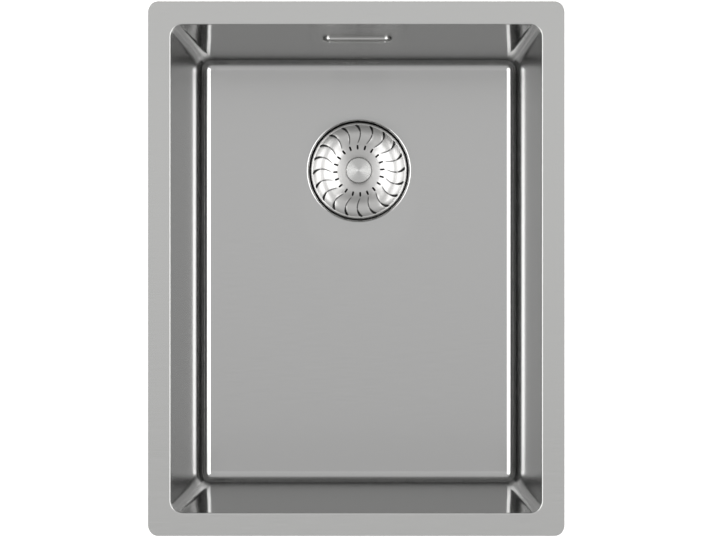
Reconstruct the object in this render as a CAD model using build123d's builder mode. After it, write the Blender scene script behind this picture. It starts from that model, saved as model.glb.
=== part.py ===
"""Undermount kitchen sink: a pressed steel bowl with its waste, overflow and worktop clips.

The origin is the centre of the bowl's opening, in the plane of the rim's top face.
+X is to the right, +Y towards the drain and the overflow, +Z up. All sizes are millimetres.
"""

import os
from math import atan, cos, degrees, pi, sin

from build123d import *

os.makedirs("parts", exist_ok=True)

# ---------------------------------------------------------------- driving dimensions
# bowl
opening_width = 304.0  # left to right, between the walls' top edges
opening_length = 400.0  # front to rear
rim_width = 19.0
rim_corner_radius = 9.0
sheet = 1.2  # thickness of the steel
bowl_depth = 190.0
wall_inset = 12.3  # how far each wall leans in from rim to floor
wall_corner_radius = 10.0
floor_bend_radius = 10.0
beak_radius = 0.4  # what is left of the corner radius where the bend meets the floor
bend_steps = 6  # outlines that the bend is drawn through
opening_edge_radius = 0.9

# drain
drain_to_rear = 110.0  # centre of the drain, forwards of the opening's rear edge
drain_radius = 45.0
drain_bend_radius = 2.5  # rolled edge between the floor and the neck
neck_length = 7.0  # from the floor's top face to the neck's lower edge

# fits between pieces
thread_clearance = 0.05  # between a screw thread's crests and its nut, as plain cylinders
running_clearance = 0.05  # round a shaft that turns or slides
stud_clearance = 0.25  # round a stud in a plate's hole
loose_clearance = 0.8  # between pieces that only pass each other
seat_gap = 0.2  # between faces that slide over or rest on each other

# sound pads
pad_thickness = 3.0
pad_corner_radius = 12.0
floor_pad_side_margin = 32.0  # between the opening's edge and the floor pad, on each side
floor_pad_front_margin = 24.0  # between the opening's front edge and the floor pad
wall_pad_top = -38.0
wall_pad_bottom = -142.0
long_pad_length = 220.0
short_pad_length = 190.0
pad_to_ring = 4.0  # between the floor pad and the clamp ring

# waste
seal_thickness = 2.5
seal_outer_radius = 57.0
cup_sheet = 0.8
cup_depth = 36.0  # from the floor's top face to the cup's inner floor
cup_bend_radius = 6.0
cup_flange_radius = 58.0
cup_hole_radius = 5.5
cup_hole_count = 6
cup_hole_circle_radius = 15.5
clamp_ring_radius = 71.0
clamp_ring_thickness = 2.0
waste_stud_circle_radius = 64.5
waste_stud_count = 4
waste_stud_radius = 2.5
waste_stud_length = 15.0
waste_washer_radius = 5.0
waste_nut_width = 8.0  # across flats
waste_nut_height = 4.0
body_seal_inner_radius = 29.0
body_seal_outer_radius = 36.0
body_seal_thickness = 2.0
body_flange_radius = 38.0
body_flange_thickness = 4.0
body_wall = 2.6
funnel_top_radius = 28.0  # inside
funnel_straight = 8.0
funnel_slope = 18.0
outlet_bore_radius = 19.6
outlet_thread_radius = 23.9  # crests of the 1 1/2 inch pipe thread
outlet_thread_length = 24.0
outlet_neck_length = 8.0
boss_radius = 8.0
boss_length = 21.0
boss_rib_thickness = 2.6
boss_rib_count = 3
screw_radius = 4.0
screw_length = 27.0  # below the cup's floor
screw_flange_radius = 9.0
screw_flange_thickness = 2.0
collar_radius = 7.0
collar_height = 13.0
collar_bore_depth = 11.0

# plug
stem_radius = 4.0
stem_groove_depth = 0.8
ring_height = 1.2
bell_radius = 28.0
bell_wall = 1.5
bell_hub_radius = 8.0
bell_hub_height = 6.0
stopper_seal_width = 5.0
stopper_seal_height = 3.6
stem_shoulder_radius = 6.0
stem_shoulder_height = 1.5

# strainer plate and knob
plate_sheet = 0.8
plate_radius = 42.5
plate_skirt = 4.0
plate_seat_drop = 4.0  # the flat centre lies this far under the bowl's floor
plate_crest_drop = 0.3  # the crest of the fluted ring, under the bowl's floor
plate_flat_radius = 18.2
flute_inner_radius = 24.0
flute_outer_radius = 41.0
flute_count = 20
flute_start_angle = 3.2  # the first inner slot, anticlockwise from +X
flute_bow_angle = -5.6  # how far each crease bows clockwise between its ends
inner_slot_start = 19.0
inner_slot_end = 23.2
inner_slot_width = 1.3
outer_slit_start = 34.0
outer_slit_end = 41.4
outer_slit_width = 1.7
crease_depth = 0.35
crease_width = 0.9
knob_radius = 12.0
knob_height = 9.8
knob_waist_radius = 9.2
knob_waist_height = 3.4
knob_chamfer = 0.8
knob_dish = 0.6
knob_spigot_radius = 7.0
knob_top_thickness = 3.0

# overflow
overflow_drop = 68.0  # centre of the slot, under the rim
slot_width = 55.0
slot_height = 10.0
trim_width = 59.0
trim_height = 14.0
trim_projection = 3.0
trim_edge_radius = 2.2
trim_wall = 1.2
overflow_seal_thickness = 2.0
housing_width = 72.0
housing_height = 26.0
housing_depth = 16.4
housing_wall = 2.2
housing_corner_radius = 5.0
housing_ear_width = 100.0
housing_ear_thickness = 2.6
overflow_stud_spacing = 86.0
overflow_stud_radius = 2.0
overflow_stud_length = 10.5
overflow_nut_width = 7.0  # across flats
overflow_nut_height = 3.2
sleeve_overlap = 1.6  # how far the trim's sleeve reaches into the housing

# overflow hose
hose_radius = 8.5  # crests of the ribs
hose_root_radius = 7.4
hose_cuff_radius = 8.0
spigot_radius = 6.2
spigot_bore_radius = 4.6
hose_bore_clearance = 0.1
cuff_length = 18.0
hose_bend_radius = 68.0
hose_to_wall = 11.3  # the hose's centre line, out from the slot's inner edge
hose_low_drop = 55.0  # the hose's lower run, under the bowl's floor
rib_pitch = 3.6
clamp_width = 8.0
clamp_thickness = 0.9
clamp_screw_size = 6.0

# worktop clips
clip_stud_radius = 2.5
clip_stud_length = 17.0
weld_disc_radius = 5.5
weld_disc_thickness = 1.0
clip_collar_radius = 4.0
clip_collar_length = 2.2
clip_width = 14.0
clip_thickness = 2.0
clip_length = 50.0  # from the stud's axis to the foot's end
clip_joggle_start = 11.0
clip_joggle_length = 4.0
clip_foot_gap = 0.8  # between the rim and the foot
clip_screw_reach = 38.0  # from the stud's axis to the worktop screw's hole
clip_screw_radius = 2.75
long_side_clip_offset = 120.0
wing_span = 22.0
wing_thickness = 2.0
wing_height = 8.0
wing_hub_radius = 4.6
wing_hub_height = 5.0
wing_shoulder = 1.0  # how far the wings stay under the hub's top
washer_thickness = 1.0
clip_washer_radius = 6.0

# ---------------------------------------------------------------- places worked out from them
floor_top = -bowl_depth
floor_underside = floor_top - sheet
drain_offset = opening_length / 2 - drain_to_rear
floor_pad_width = opening_width - 2 * floor_pad_side_margin
floor_pad_front = floor_pad_front_margin - opening_length / 2
wall_slope = wall_inset / bowl_depth
wall_lean = atan(wall_slope)
bend_turn = pi / 2 - wall_lean  # angle between the floor and a wall
drain_centre = (0, drain_offset, 0)
drain_axis = Axis(drain_centre, (0, 0, 1))
# radius along local x, height along local y
drain_section = Plane(origin=drain_centre, x_dir=(1, 0, 0), z_dir=(0, -1, 0))


def drain_plane(height):
    """The horizontal plane centred on the drain at this height."""
    return Plane(origin=(0, drain_offset, height))


def turned(points, section=drain_section, axis=drain_axis):
    """A solid of revolution round the drain from its (radius, height) outline."""
    with BuildPart() as piece:
        with BuildSketch(section):
            with BuildLine():
                Polyline(*points, close=True)
            make_face()
        revolve(axis=axis)
    return piece.part


def ring(inner, outer, low, high):
    """A flat ring round the drain, as a turned outline."""
    return turned([(inner, low), (outer, low), (outer, high), (inner, high)])


def save(piece, name):
    """Label a finished piece and write it under its name."""
    piece.part.label = name
    export_step(piece.part, f"parts/{name}.step")


# ---------------------------------------------------------------- bowl
def tub_outline(grow, turn):
    """The tub's outline where its bend has turned this far: the floor's edge at 0, the walls at bend_turn.

    The corners' radius shrinks down the bend, to a point where it meets the floor.
    """
    bend = floor_bend_radius + grow
    bend_centre = floor_top + floor_bend_radius
    inward = bend / cos(wall_lean) - bend * sin(turn) - wall_slope * bend_centre - grow
    corner = (wall_corner_radius + grow) * sin(turn) / sin(bend_turn)
    with BuildSketch(Plane.XY.offset(bend_centre - bend * cos(turn))) as outline:
        RectangleRounded(
            opening_width - 2 * inward, opening_length - 2 * inward, max(corner, beak_radius)
        )
    return outline.sketch


def tub(grow):
    """The bowl's inside as a solid, pushed outwards by grow: leaning walls, then a bend to the floor."""
    with BuildSketch() as opening:
        RectangleRounded(
            opening_width + 2 * grow, opening_length + 2 * grow, wall_corner_radius + grow
        )
    with BuildPart() as solid:
        loft([opening.sketch, tub_outline(grow, bend_turn)])
        loft([tub_outline(grow, bend_turn * step / bend_steps) for step in range(bend_steps, -1, -1)])
    return solid.part


# the slot's centre on the wall's inner face; local z points out through the leaning wall, y up
overflow_plane = Plane(
    origin=(0, opening_length / 2 - wall_slope * overflow_drop, -overflow_drop),
    x_dir=(-1, 0, 0),
    z_dir=(0, 1, -wall_slope),
)

bend_top_radius = drain_radius + drain_bend_radius
with BuildPart() as bowl:
    add(tub(sheet))
    with BuildSketch(Plane.XY.offset(-sheet)):
        RectangleRounded(
            opening_width + 2 * rim_width, opening_length + 2 * rim_width, rim_corner_radius
        )
    extrude(amount=sheet)
    add(tub(0), mode=Mode.SUBTRACT)
    opening_edge = bowl.faces().sort_by(Axis.Z)[-1].inner_wires()[0].edges()
    fillet(opening_edge, opening_edge_radius)
    # the floor turns down into a short neck round the drain
    with BuildSketch(drain_plane(floor_underside)):
        Circle(bend_top_radius)
    extrude(amount=sheet, mode=Mode.SUBTRACT)
    with BuildSketch(drain_section):
        with BuildLine():
            neck_low = floor_top - neck_length
            bend_centre_height = floor_top - drain_bend_radius
            RadiusArc(
                (drain_radius, bend_centre_height), (bend_top_radius, floor_top), drain_bend_radius
            )
            Line((bend_top_radius, floor_top), (bend_top_radius, floor_underside))
            RadiusArc(
                (bend_top_radius, floor_underside),
                (drain_radius + sheet, bend_centre_height),
                -(drain_bend_radius - sheet),
            )
            Polyline(
                (drain_radius + sheet, bend_centre_height),
                (drain_radius + sheet, neck_low),
                (drain_radius, neck_low),
                (drain_radius, bend_centre_height),
            )
        make_face()
    revolve(axis=drain_axis)
    with BuildSketch(overflow_plane):
        SlotOverall(slot_width, slot_height)
    extrude(amount=2 * sheet, both=True, mode=Mode.SUBTRACT)
save(bowl, "bowl")

# ---------------------------------------------------------------- sound pads
with BuildPart() as floor_pad:
    pad_rear = drain_offset
    pad_length = pad_rear - floor_pad_front
    with BuildSketch(Plane.XY.offset(floor_underside - pad_thickness)):
        with Locations((0, (pad_rear + floor_pad_front) / 2)):
            RectangleRounded(floor_pad_width, pad_length, pad_corner_radius)
        with Locations((0, drain_offset)):
            Circle(clamp_ring_radius + pad_to_ring, mode=Mode.SUBTRACT)
    extrude(amount=pad_thickness)
save(floor_pad, "floor_sound_pad")


def wall_pad(outward, length):
    """A pad on the wall that faces this way, between the pads' top and bottom lines."""
    facing = Plane(origin=(0, 0, (wall_pad_top + wall_pad_bottom) / 2), z_dir=outward)
    # the vertical side of the outline is the facing plane's local x when that axis is upright
    height = wall_pad_top - wall_pad_bottom
    upright = abs(facing.x_dir.Z) > 0.5
    with BuildPart() as pad:
        with BuildSketch(facing):
            if upright:
                RectangleRounded(height, length, pad_corner_radius)
            else:
                RectangleRounded(length, height, pad_corner_radius)
        extrude(amount=opening_length)
        add(tub(sheet + pad_thickness), mode=Mode.INTERSECT)
        add(tub(sheet), mode=Mode.SUBTRACT)
    return pad


save(wall_pad((-1, 0, 0), long_pad_length), "left_sound_pad")
save(wall_pad((1, 0, 0), long_pad_length), "right_sound_pad")
save(wall_pad((0, -1, 0), short_pad_length), "front_sound_pad")

# ---------------------------------------------------------------- waste under the drain
cup_flange_top = floor_underside - seal_thickness
cup_inner_radius = drain_radius + sheet + loose_clearance
cup_floor = floor_top - cup_depth
cup_underside = cup_floor - cup_sheet
clamp_ring_top = cup_flange_top - cup_sheet
clamp_ring_low = clamp_ring_top - clamp_ring_thickness

with BuildPart() as cup_gasket:
    add(ring(bend_top_radius, seal_outer_radius, cup_flange_top, floor_underside))
save(cup_gasket, "cup_gasket")

def can(radius, low, bend):
    """A round solid under the drain, from the gasket down, with its lower edge bent round."""
    with BuildPart() as solid:
        with BuildSketch(drain_plane(low)):
            Circle(radius)
        extrude(amount=cup_flange_top - low)
        fillet(solid.edges().group_by(Axis.Z)[0], bend)
    return solid.part


with BuildPart() as waste_cup:
    add(can(cup_inner_radius + cup_sheet, cup_underside, cup_bend_radius + cup_sheet))
    add(ring(cup_inner_radius, cup_flange_radius, clamp_ring_top, cup_flange_top))
    add(can(cup_inner_radius, cup_floor, cup_bend_radius), mode=Mode.SUBTRACT)
    with BuildSketch(drain_plane(cup_underside)):
        Circle(screw_radius + stud_clearance)
        with PolarLocations(cup_hole_circle_radius, cup_hole_count):
            Circle(cup_hole_radius)
    extrude(amount=cup_sheet, mode=Mode.SUBTRACT)
save(waste_cup, "waste_cup")

with BuildPart() as clamp_ring:
    with BuildSketch(drain_plane(clamp_ring_low)):
        Circle(clamp_ring_radius)
        Circle(cup_inner_radius + cup_sheet + stud_clearance, mode=Mode.SUBTRACT)
        with PolarLocations(waste_stud_circle_radius, waste_stud_count, start_angle=45):
            Circle(waste_stud_radius + stud_clearance, mode=Mode.SUBTRACT)
    extrude(amount=clamp_ring_thickness)
save(clamp_ring, "clamp_ring")

with BuildPart() as waste_studs:
    with BuildSketch(drain_plane(floor_underside - waste_stud_length)):
        with PolarLocations(waste_stud_circle_radius, waste_stud_count, start_angle=45):
            Circle(waste_stud_radius)
    extrude(amount=waste_stud_length)
save(waste_studs, "waste_studs")

with BuildPart() as waste_washers:
    with BuildSketch(drain_plane(clamp_ring_low - washer_thickness)):
        with PolarLocations(waste_stud_circle_radius, waste_stud_count, start_angle=45):
            Circle(waste_washer_radius)
            Circle(waste_stud_radius + stud_clearance, mode=Mode.SUBTRACT)
    extrude(amount=washer_thickness)
save(waste_washers, "waste_washers")

with BuildPart() as waste_nuts:
    with BuildSketch(drain_plane(clamp_ring_low - washer_thickness - waste_nut_height)):
        with PolarLocations(waste_stud_circle_radius, waste_stud_count, start_angle=45):
            RegularPolygon(waste_nut_width / 2, 6, major_radius=False)
            Circle(waste_stud_radius + thread_clearance, mode=Mode.SUBTRACT)
    extrude(amount=waste_nut_height)
save(waste_nuts, "waste_nuts")

body_top = cup_underside - body_seal_thickness
with BuildPart() as body_gasket:
    add(ring(body_seal_inner_radius, body_seal_outer_radius, body_top, cup_underside))
save(body_gasket, "body_gasket")

# ---------------------------------------------------------------- overflow and hose places
wall_outside = sheet
housing_face = sheet + overflow_seal_thickness
hose_y = opening_length / 2 + hose_to_wall - wall_slope * overflow_drop
hose_low = floor_top - hose_low_drop
housing_low = -overflow_drop - housing_height / 2
hose_top = housing_low - 2 * loose_clearance
bend_start = hose_low + hose_bend_radius  # height where the upright run ends
bend_end = hose_y - hose_bend_radius  # distance from the centre where the lower run begins
hose_end = bend_end - cuff_length
drain_to_hose_end = hose_end - drain_offset

funnel_low = body_top - funnel_straight - funnel_slope
outlet_end = funnel_low - outlet_neck_length - outlet_thread_length

# ---------------------------------------------------------------- waste body
with BuildPart() as waste_body:
    outer_top = funnel_top_radius + body_wall
    outer_low = outlet_bore_radius + body_wall
    add(
        turned(
            [
                (0, body_top),
                (body_flange_radius, body_top),
                (body_flange_radius, body_top - body_flange_thickness),
                (outer_top, body_top - body_flange_thickness),
                (outer_top, body_top - funnel_straight),
                (outer_low, funnel_low),
                (outer_low, funnel_low - outlet_neck_length),
                (outlet_thread_radius, funnel_low - outlet_neck_length),
                (outlet_thread_radius, outlet_end),
                (0, outlet_end),
            ]
        )
    )
    # the side inlet for the overflow hose: a spigot with a shoulder at its root
    with BuildSketch(Plane(origin=(0, drain_offset, hose_low), z_dir=(0, 1, 0))):
        Circle(spigot_radius)
    extrude(amount=drain_to_hose_end + cuff_length - loose_clearance)
    with BuildSketch(Plane(origin=(0, drain_offset, hose_low), z_dir=(0, 1, 0))):
        Circle(hose_radius)
    extrude(amount=drain_to_hose_end - seat_gap)
    add(
        turned(
            [
                (0, body_top),
                (funnel_top_radius, body_top),
                (funnel_top_radius, body_top - funnel_straight),
                (outlet_bore_radius, funnel_low),
                (outlet_bore_radius, outlet_end),
                (0, outlet_end),
            ]
        ),
        mode=Mode.SUBTRACT,
    )
    with BuildSketch(Plane(origin=(0, drain_offset, hose_low), z_dir=(0, 1, 0))):
        Circle(spigot_bore_radius)
    extrude(amount=drain_to_hose_end + cuff_length, mode=Mode.SUBTRACT)
    # the central boss that takes the screw, on three ribs
    boss_top = body_top - loose_clearance
    with BuildSketch(drain_plane(boss_top - boss_length)):
        Circle(boss_radius)
    extrude(amount=boss_length)
    rib_reach = (funnel_top_radius + outlet_bore_radius) / 2
    with BuildSketch(drain_plane(boss_top - boss_length)):
        with PolarLocations(rib_reach / 2, boss_rib_count, start_angle=30):
            Rectangle(rib_reach, boss_rib_thickness)
    extrude(amount=boss_length - body_flange_thickness)
    with BuildSketch(drain_plane(boss_top - boss_length)):
        Circle(screw_radius + thread_clearance)
    extrude(amount=boss_length, mode=Mode.SUBTRACT)
save(waste_body, "waste_body")

with BuildPart() as centre_screw:
    bore_low = cup_floor + collar_height - collar_bore_depth
    bore_radius = stem_radius + running_clearance
    add(
        turned(
            [
                (0, cup_floor - screw_length),
                (screw_radius, cup_floor - screw_length),
                (screw_radius, cup_floor),
                (screw_flange_radius, cup_floor),
                (screw_flange_radius, cup_floor + screw_flange_thickness),
                (collar_radius, cup_floor + screw_flange_thickness),
                (collar_radius, cup_floor + collar_height),
                (bore_radius, cup_floor + collar_height),
                (bore_radius, bore_low),
                (0, bore_low),
            ]
        )
    )
save(centre_screw, "centre_screw")

# ---------------------------------------------------------------- overflow
with BuildPart() as overflow_trim:
    sleeve_width = slot_width - 2 * seat_gap
    sleeve_height = slot_height - 2 * seat_gap
    sleeve_end = housing_face + sleeve_overlap
    with BuildSketch(overflow_plane.offset(-trim_projection)):
        SlotOverall(trim_width, trim_height)
    extrude(amount=trim_projection)
    front_edge = overflow_trim.faces().sort_by(Axis.Y)[0].edges()
    fillet(front_edge, trim_edge_radius)
    with BuildSketch(overflow_plane):
        SlotOverall(sleeve_width, sleeve_height)
    extrude(amount=sleeve_end)
    with BuildSketch(overflow_plane.offset(-trim_projection)):
        SlotOverall(sleeve_width - 2 * trim_wall, sleeve_height - 2 * trim_wall)
    extrude(amount=trim_projection + sleeve_end, mode=Mode.SUBTRACT)
    passage_edge = overflow_trim.faces().sort_by(Axis.Y)[0].inner_wires()[0].edges()
    fillet(passage_edge, trim_wall / 2)
save(overflow_trim, "overflow_trim")

with BuildPart() as overflow_gasket:
    with BuildSketch(overflow_plane.offset(wall_outside)):
        RectangleRounded(housing_width, housing_height, housing_corner_radius)
        SlotOverall(trim_width, trim_height, mode=Mode.SUBTRACT)
    extrude(amount=overflow_seal_thickness)
save(overflow_gasket, "overflow_gasket")

with BuildPart() as overflow_housing:
    with BuildSketch(overflow_plane.offset(housing_face)):
        RectangleRounded(housing_width, housing_height, housing_corner_radius)
    extrude(amount=housing_depth)
    back_edges = overflow_housing.faces().sort_by(Axis.Y)[-1].edges()
    fillet(back_edges, housing_wall)
    with BuildSketch(overflow_plane.offset(housing_face)):
        SlotOverall(housing_ear_width, housing_height)
    extrude(amount=housing_ear_thickness)
    # the spigot for the hose hangs under the box, with a shoulder at its root
    spigot_root = housing_low + housing_wall
    with BuildSketch(Plane(origin=(0, hose_y, hose_top + seat_gap))):
        Circle(hose_cuff_radius)
    extrude(amount=spigot_root - hose_top - seat_gap)
    spigot_end = hose_top - cuff_length + loose_clearance
    with BuildSketch(Plane(origin=(0, hose_y, spigot_end))):
        Circle(spigot_radius)
    extrude(amount=spigot_root - spigot_end)
    with BuildSketch(overflow_plane.offset(housing_face)):
        RectangleRounded(
            housing_width - 2 * housing_wall,
            housing_height - 2 * housing_wall,
            housing_corner_radius - housing_wall,
        )
    extrude(amount=housing_depth - housing_wall, mode=Mode.SUBTRACT)
    with BuildSketch(Plane(origin=(0, hose_y, spigot_end))):
        Circle(spigot_bore_radius)
    extrude(amount=spigot_root - spigot_end + housing_wall, mode=Mode.SUBTRACT)
    with BuildSketch(overflow_plane.offset(housing_face)):
        with GridLocations(overflow_stud_spacing, 0, 2, 1):
            Circle(overflow_stud_radius + stud_clearance)
    extrude(amount=housing_ear_thickness, mode=Mode.SUBTRACT)
save(overflow_housing, "overflow_housing")

with BuildPart() as overflow_studs:
    with BuildSketch(overflow_plane.offset(wall_outside)):
        with GridLocations(overflow_stud_spacing, 0, 2, 1):
            Circle(overflow_stud_radius)
    extrude(amount=overflow_stud_length)
save(overflow_studs, "overflow_studs")

with BuildPart() as overflow_nuts:
    with BuildSketch(overflow_plane.offset(housing_face + housing_ear_thickness)):
        with GridLocations(overflow_stud_spacing, 0, 2, 1):
            RegularPolygon(overflow_nut_width / 2, 6, major_radius=False)
            Circle(overflow_stud_radius + thread_clearance, mode=Mode.SUBTRACT)
    extrude(amount=overflow_nut_height)
save(overflow_nuts, "overflow_nuts")

# ---------------------------------------------------------------- overflow hose
upright_length = hose_top - bend_start
bend_length = hose_bend_radius * pi / 2
hose_length = upright_length + bend_length + cuff_length


def hose_plane(distance):
    """The plane square to the hose at this distance from its upper end."""
    if distance <= upright_length:
        return Plane(origin=(0, hose_y, hose_top - distance), x_dir=(1, 0, 0), z_dir=(0, 0, -1))
    if distance >= upright_length + bend_length:
        lower_run = distance - upright_length - bend_length
        return Plane(origin=(0, bend_end - lower_run, hose_low), x_dir=(1, 0, 0), z_dir=(0, -1, 0))
    turn = Vector(0, hose_bend_radius, 0).rotate(
        Axis.X, -degrees((distance - upright_length) / hose_bend_radius)
    )
    forward = Vector(0, 0, -1).rotate(
        Axis.X, -degrees((distance - upright_length) / hose_bend_radius)
    )
    return Plane(origin=Vector(0, bend_end, bend_start) + turn, x_dir=(1, 0, 0), z_dir=forward)


with BuildPart() as overflow_hose:
    ribbed_length = hose_length - 2 * cuff_length
    rib_count = round(ribbed_length / rib_pitch)
    pitch = ribbed_length / rib_count
    for end in (0, cuff_length):
        with BuildSketch(hose_plane(end)):
            Circle(hose_cuff_radius)
    for rib in range(rib_count):
        for share, radius in (
            (0.12, hose_root_radius),
            (0.32, hose_radius),
            (0.68, hose_radius),
            (0.88, hose_root_radius),
        ):
            with BuildSketch(hose_plane(cuff_length + (rib + share) * pitch)):
                Circle(radius)
    for end in (hose_length - cuff_length, hose_length):
        with BuildSketch(hose_plane(end)):
            Circle(hose_cuff_radius)
    loft(ruled=True)
    with BuildLine():
        Line((0, hose_y, hose_top), (0, hose_y, bend_start))
        ThreePointArc(
            (0, hose_y, bend_start),
            hose_plane(upright_length + bend_length / 2).origin,
            (0, bend_end, hose_low),
        )
        Line((0, bend_end, hose_low), (0, hose_end, hose_low))
    with BuildSketch(hose_plane(0)):
        Circle(spigot_radius + hose_bore_clearance)
    sweep(mode=Mode.SUBTRACT)
save(overflow_hose, "overflow_hose")
print(f"hose: {hose_length:.0f} mm long, {rib_count} ribs, bent at {hose_bend_radius:.0f} mm")


def hose_clamp(place):
    """A band round a hose's cuff with the block of its tightening screw on the +X side."""
    with BuildPart() as clamp:
        with BuildSketch(place):
            Circle(hose_cuff_radius + thread_clearance + clamp_thickness)
            with Locations((hose_cuff_radius + clamp_screw_size / 2, 0)):
                Rectangle(clamp_screw_size, clamp_screw_size)
            Circle(hose_cuff_radius + thread_clearance, mode=Mode.SUBTRACT)
        extrude(amount=clamp_width / 2, both=True)
    return clamp


save(hose_clamp(hose_plane(cuff_length / 2)), "upper_hose_clamp")
save(hose_clamp(hose_plane(hose_length - cuff_length / 2)), "lower_hose_clamp")

# ---------------------------------------------------------------- plug: stem, bell and rubber seal
collar_top = cup_floor + collar_height
circlip_low = collar_top + loose_clearance
bell_hub_low = circlip_low + ring_height
bell_hub_top = bell_hub_low + bell_hub_height
bell_rim = cup_floor + seat_gap + stopper_seal_height
plate_flat = floor_top - plate_seat_drop
knob_top = plate_flat + knob_height
stem_low = bore_low + 2 * loose_clearance
stem_top = knob_top - knob_top_thickness - seat_gap
detent_height = (stem_low + collar_top) / 2
snap_ring_height = (plate_flat + stem_top) / 2
groove_radius = stem_radius - stem_groove_depth

with BuildPart() as plug_stem:
    with BuildSketch(drain_plane(stem_low)):
        Circle(stem_radius)
    extrude(amount=stem_top - stem_low)
    with BuildSketch(drain_plane(bell_hub_top)):
        Circle(stem_shoulder_radius)
    extrude(amount=stem_shoulder_height)
    chamfer(plug_stem.edges().group_by(Axis.Z)[0], stem_groove_depth)
    for groove_low in (detent_height, circlip_low, snap_ring_height):
        add(
            ring(groove_radius, stem_radius + seat_gap, groove_low, groove_low + ring_height),
            mode=Mode.SUBTRACT,
        )
save(plug_stem, "plug_stem")


def split_ring(outer_radius, low):
    """A spring ring in one of the stem's grooves, open on one side."""
    with BuildPart() as piece:
        with BuildSketch(drain_plane(low + thread_clearance)):
            Circle(outer_radius)
            Circle(groove_radius + thread_clearance, mode=Mode.SUBTRACT)
            with Locations((outer_radius, 0)):
                Rectangle(2 * outer_radius, stem_radius / 2, mode=Mode.SUBTRACT)
        extrude(amount=ring_height - 2 * thread_clearance)
    return piece


snap_ring_radius = stem_radius + stem_groove_depth
save(split_ring(stem_radius - thread_clearance, detent_height), "stem_detent_ring")
save(split_ring(bell_hub_radius - ring_height, circlip_low), "bell_circlip")
save(split_ring(snap_ring_radius, snap_ring_height), "knob_snap_ring")

with BuildPart() as stopper_bell:
    hub_bore = stem_radius + thread_clearance
    dome_low = bell_rim + 2 * bell_wall
    add(
        turned(
            [
                (hub_bore, bell_hub_low),
                (bell_hub_radius, bell_hub_low),
                (bell_hub_radius + bell_wall, bell_hub_top - 2 * bell_wall),
                (bell_radius - bell_wall, dome_low - bell_wall),
                (bell_radius - bell_wall, bell_rim),
                (bell_radius, bell_rim),
                (bell_radius, dome_low),
                (bell_hub_radius + 2 * bell_wall, bell_hub_top - bell_wall),
                (bell_hub_radius, bell_hub_top),
                (hub_bore, bell_hub_top),
            ]
        )
    )
save(stopper_bell, "stopper_bell")

with BuildPart() as stopper_seal:
    seal_outer = bell_radius + bell_wall
    lip = bell_rim - stopper_seal_height
    seal_inner = seal_outer - stopper_seal_width
    add(
        turned(
            [
                (seal_inner, lip + stopper_seal_height / 2),
                (seal_inner + bell_wall, lip),
                (seal_outer - bell_wall, lip),
                (seal_outer, lip + stopper_seal_height / 2),
                (seal_outer, bell_rim),
                (seal_inner, bell_rim),
            ]
        )
    )
save(stopper_seal, "stopper_seal")

# ---------------------------------------------------------------- strainer plate and knob
spigot_hole_radius = knob_spigot_radius + thread_clearance
plate_crest = floor_top - plate_crest_drop
flute_edge = plate_flat + plate_sheet  # height of the fluted ring's inner and outer edges
crest_radius = (flute_inner_radius + flute_outer_radius) / 2


def plate_layer(under, thickness):
    """The turned layer of the plate from this far under its top face, this thick."""
    high, low = -under, -under - thickness
    with BuildPart() as layer:
        with BuildSketch(drain_section):
            with BuildLine():
                Polyline(
                    (spigot_hole_radius, plate_flat + low),
                    (spigot_hole_radius, plate_flat + high),
                    (plate_flat_radius, plate_flat + high),
                    (flute_inner_radius, flute_edge + high),
                )
                ThreePointArc(
                    (flute_inner_radius, flute_edge + high),
                    (crest_radius, plate_crest + high),
                    (flute_outer_radius, flute_edge + high),
                )
                Line((flute_outer_radius, flute_edge + high), (flute_outer_radius, flute_edge + low))
                ThreePointArc(
                    (flute_outer_radius, flute_edge + low),
                    (crest_radius, plate_crest + low),
                    (flute_inner_radius, flute_edge + low),
                )
                Polyline(
                    (flute_inner_radius, flute_edge + low),
                    (plate_flat_radius, plate_flat + low),
                    (spigot_hole_radius, plate_flat + low),
                )
            make_face()
        revolve(axis=drain_axis)
    return layer.part


def crease_point(radius, side):
    """A point beside the first crease at this radius, in the plane of the plate."""
    share = (radius - flute_inner_radius) / (flute_outer_radius - flute_inner_radius)
    bow = flute_bow_angle * 4 * share * (1 - share)
    return Vector(radius, side, 0).rotate(Axis.Z, flute_start_angle + bow)


def curved_strip(start, end, start_width, end_width):
    """The face of one curved strip along the first crease, between these radii."""
    middle = (start + end) / 2
    middle_width = (start_width + end_width) / 2
    with BuildSketch() as strip:
        with BuildLine():
            ThreePointArc(
                crease_point(start, start_width / 2),
                crease_point(middle, middle_width / 2),
                crease_point(end, end_width / 2),
            )
            Line(crease_point(end, end_width / 2), crease_point(end, -end_width / 2))
            ThreePointArc(
                crease_point(end, -end_width / 2),
                crease_point(middle, -middle_width / 2),
                crease_point(start, -start_width / 2),
            )
            Line(crease_point(start, -start_width / 2), crease_point(start, start_width / 2))
        make_face()
    return strip.sketch


slit_face = curved_strip(outer_slit_start, outer_slit_end, inner_slot_width / 4, outer_slit_width)
crease_face = curved_strip(flute_inner_radius, outer_slit_start, crease_width, crease_width)

# the creases between the petals run along the top face only
with BuildPart() as creases:
    add(plate_layer(-crease_depth, 2 * crease_depth))
    with BuildSketch(drain_plane(plate_flat - plate_skirt)):
        with PolarLocations(0, flute_count):
            add(crease_face)
    extrude(amount=3 * plate_skirt, mode=Mode.INTERSECT)

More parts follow.
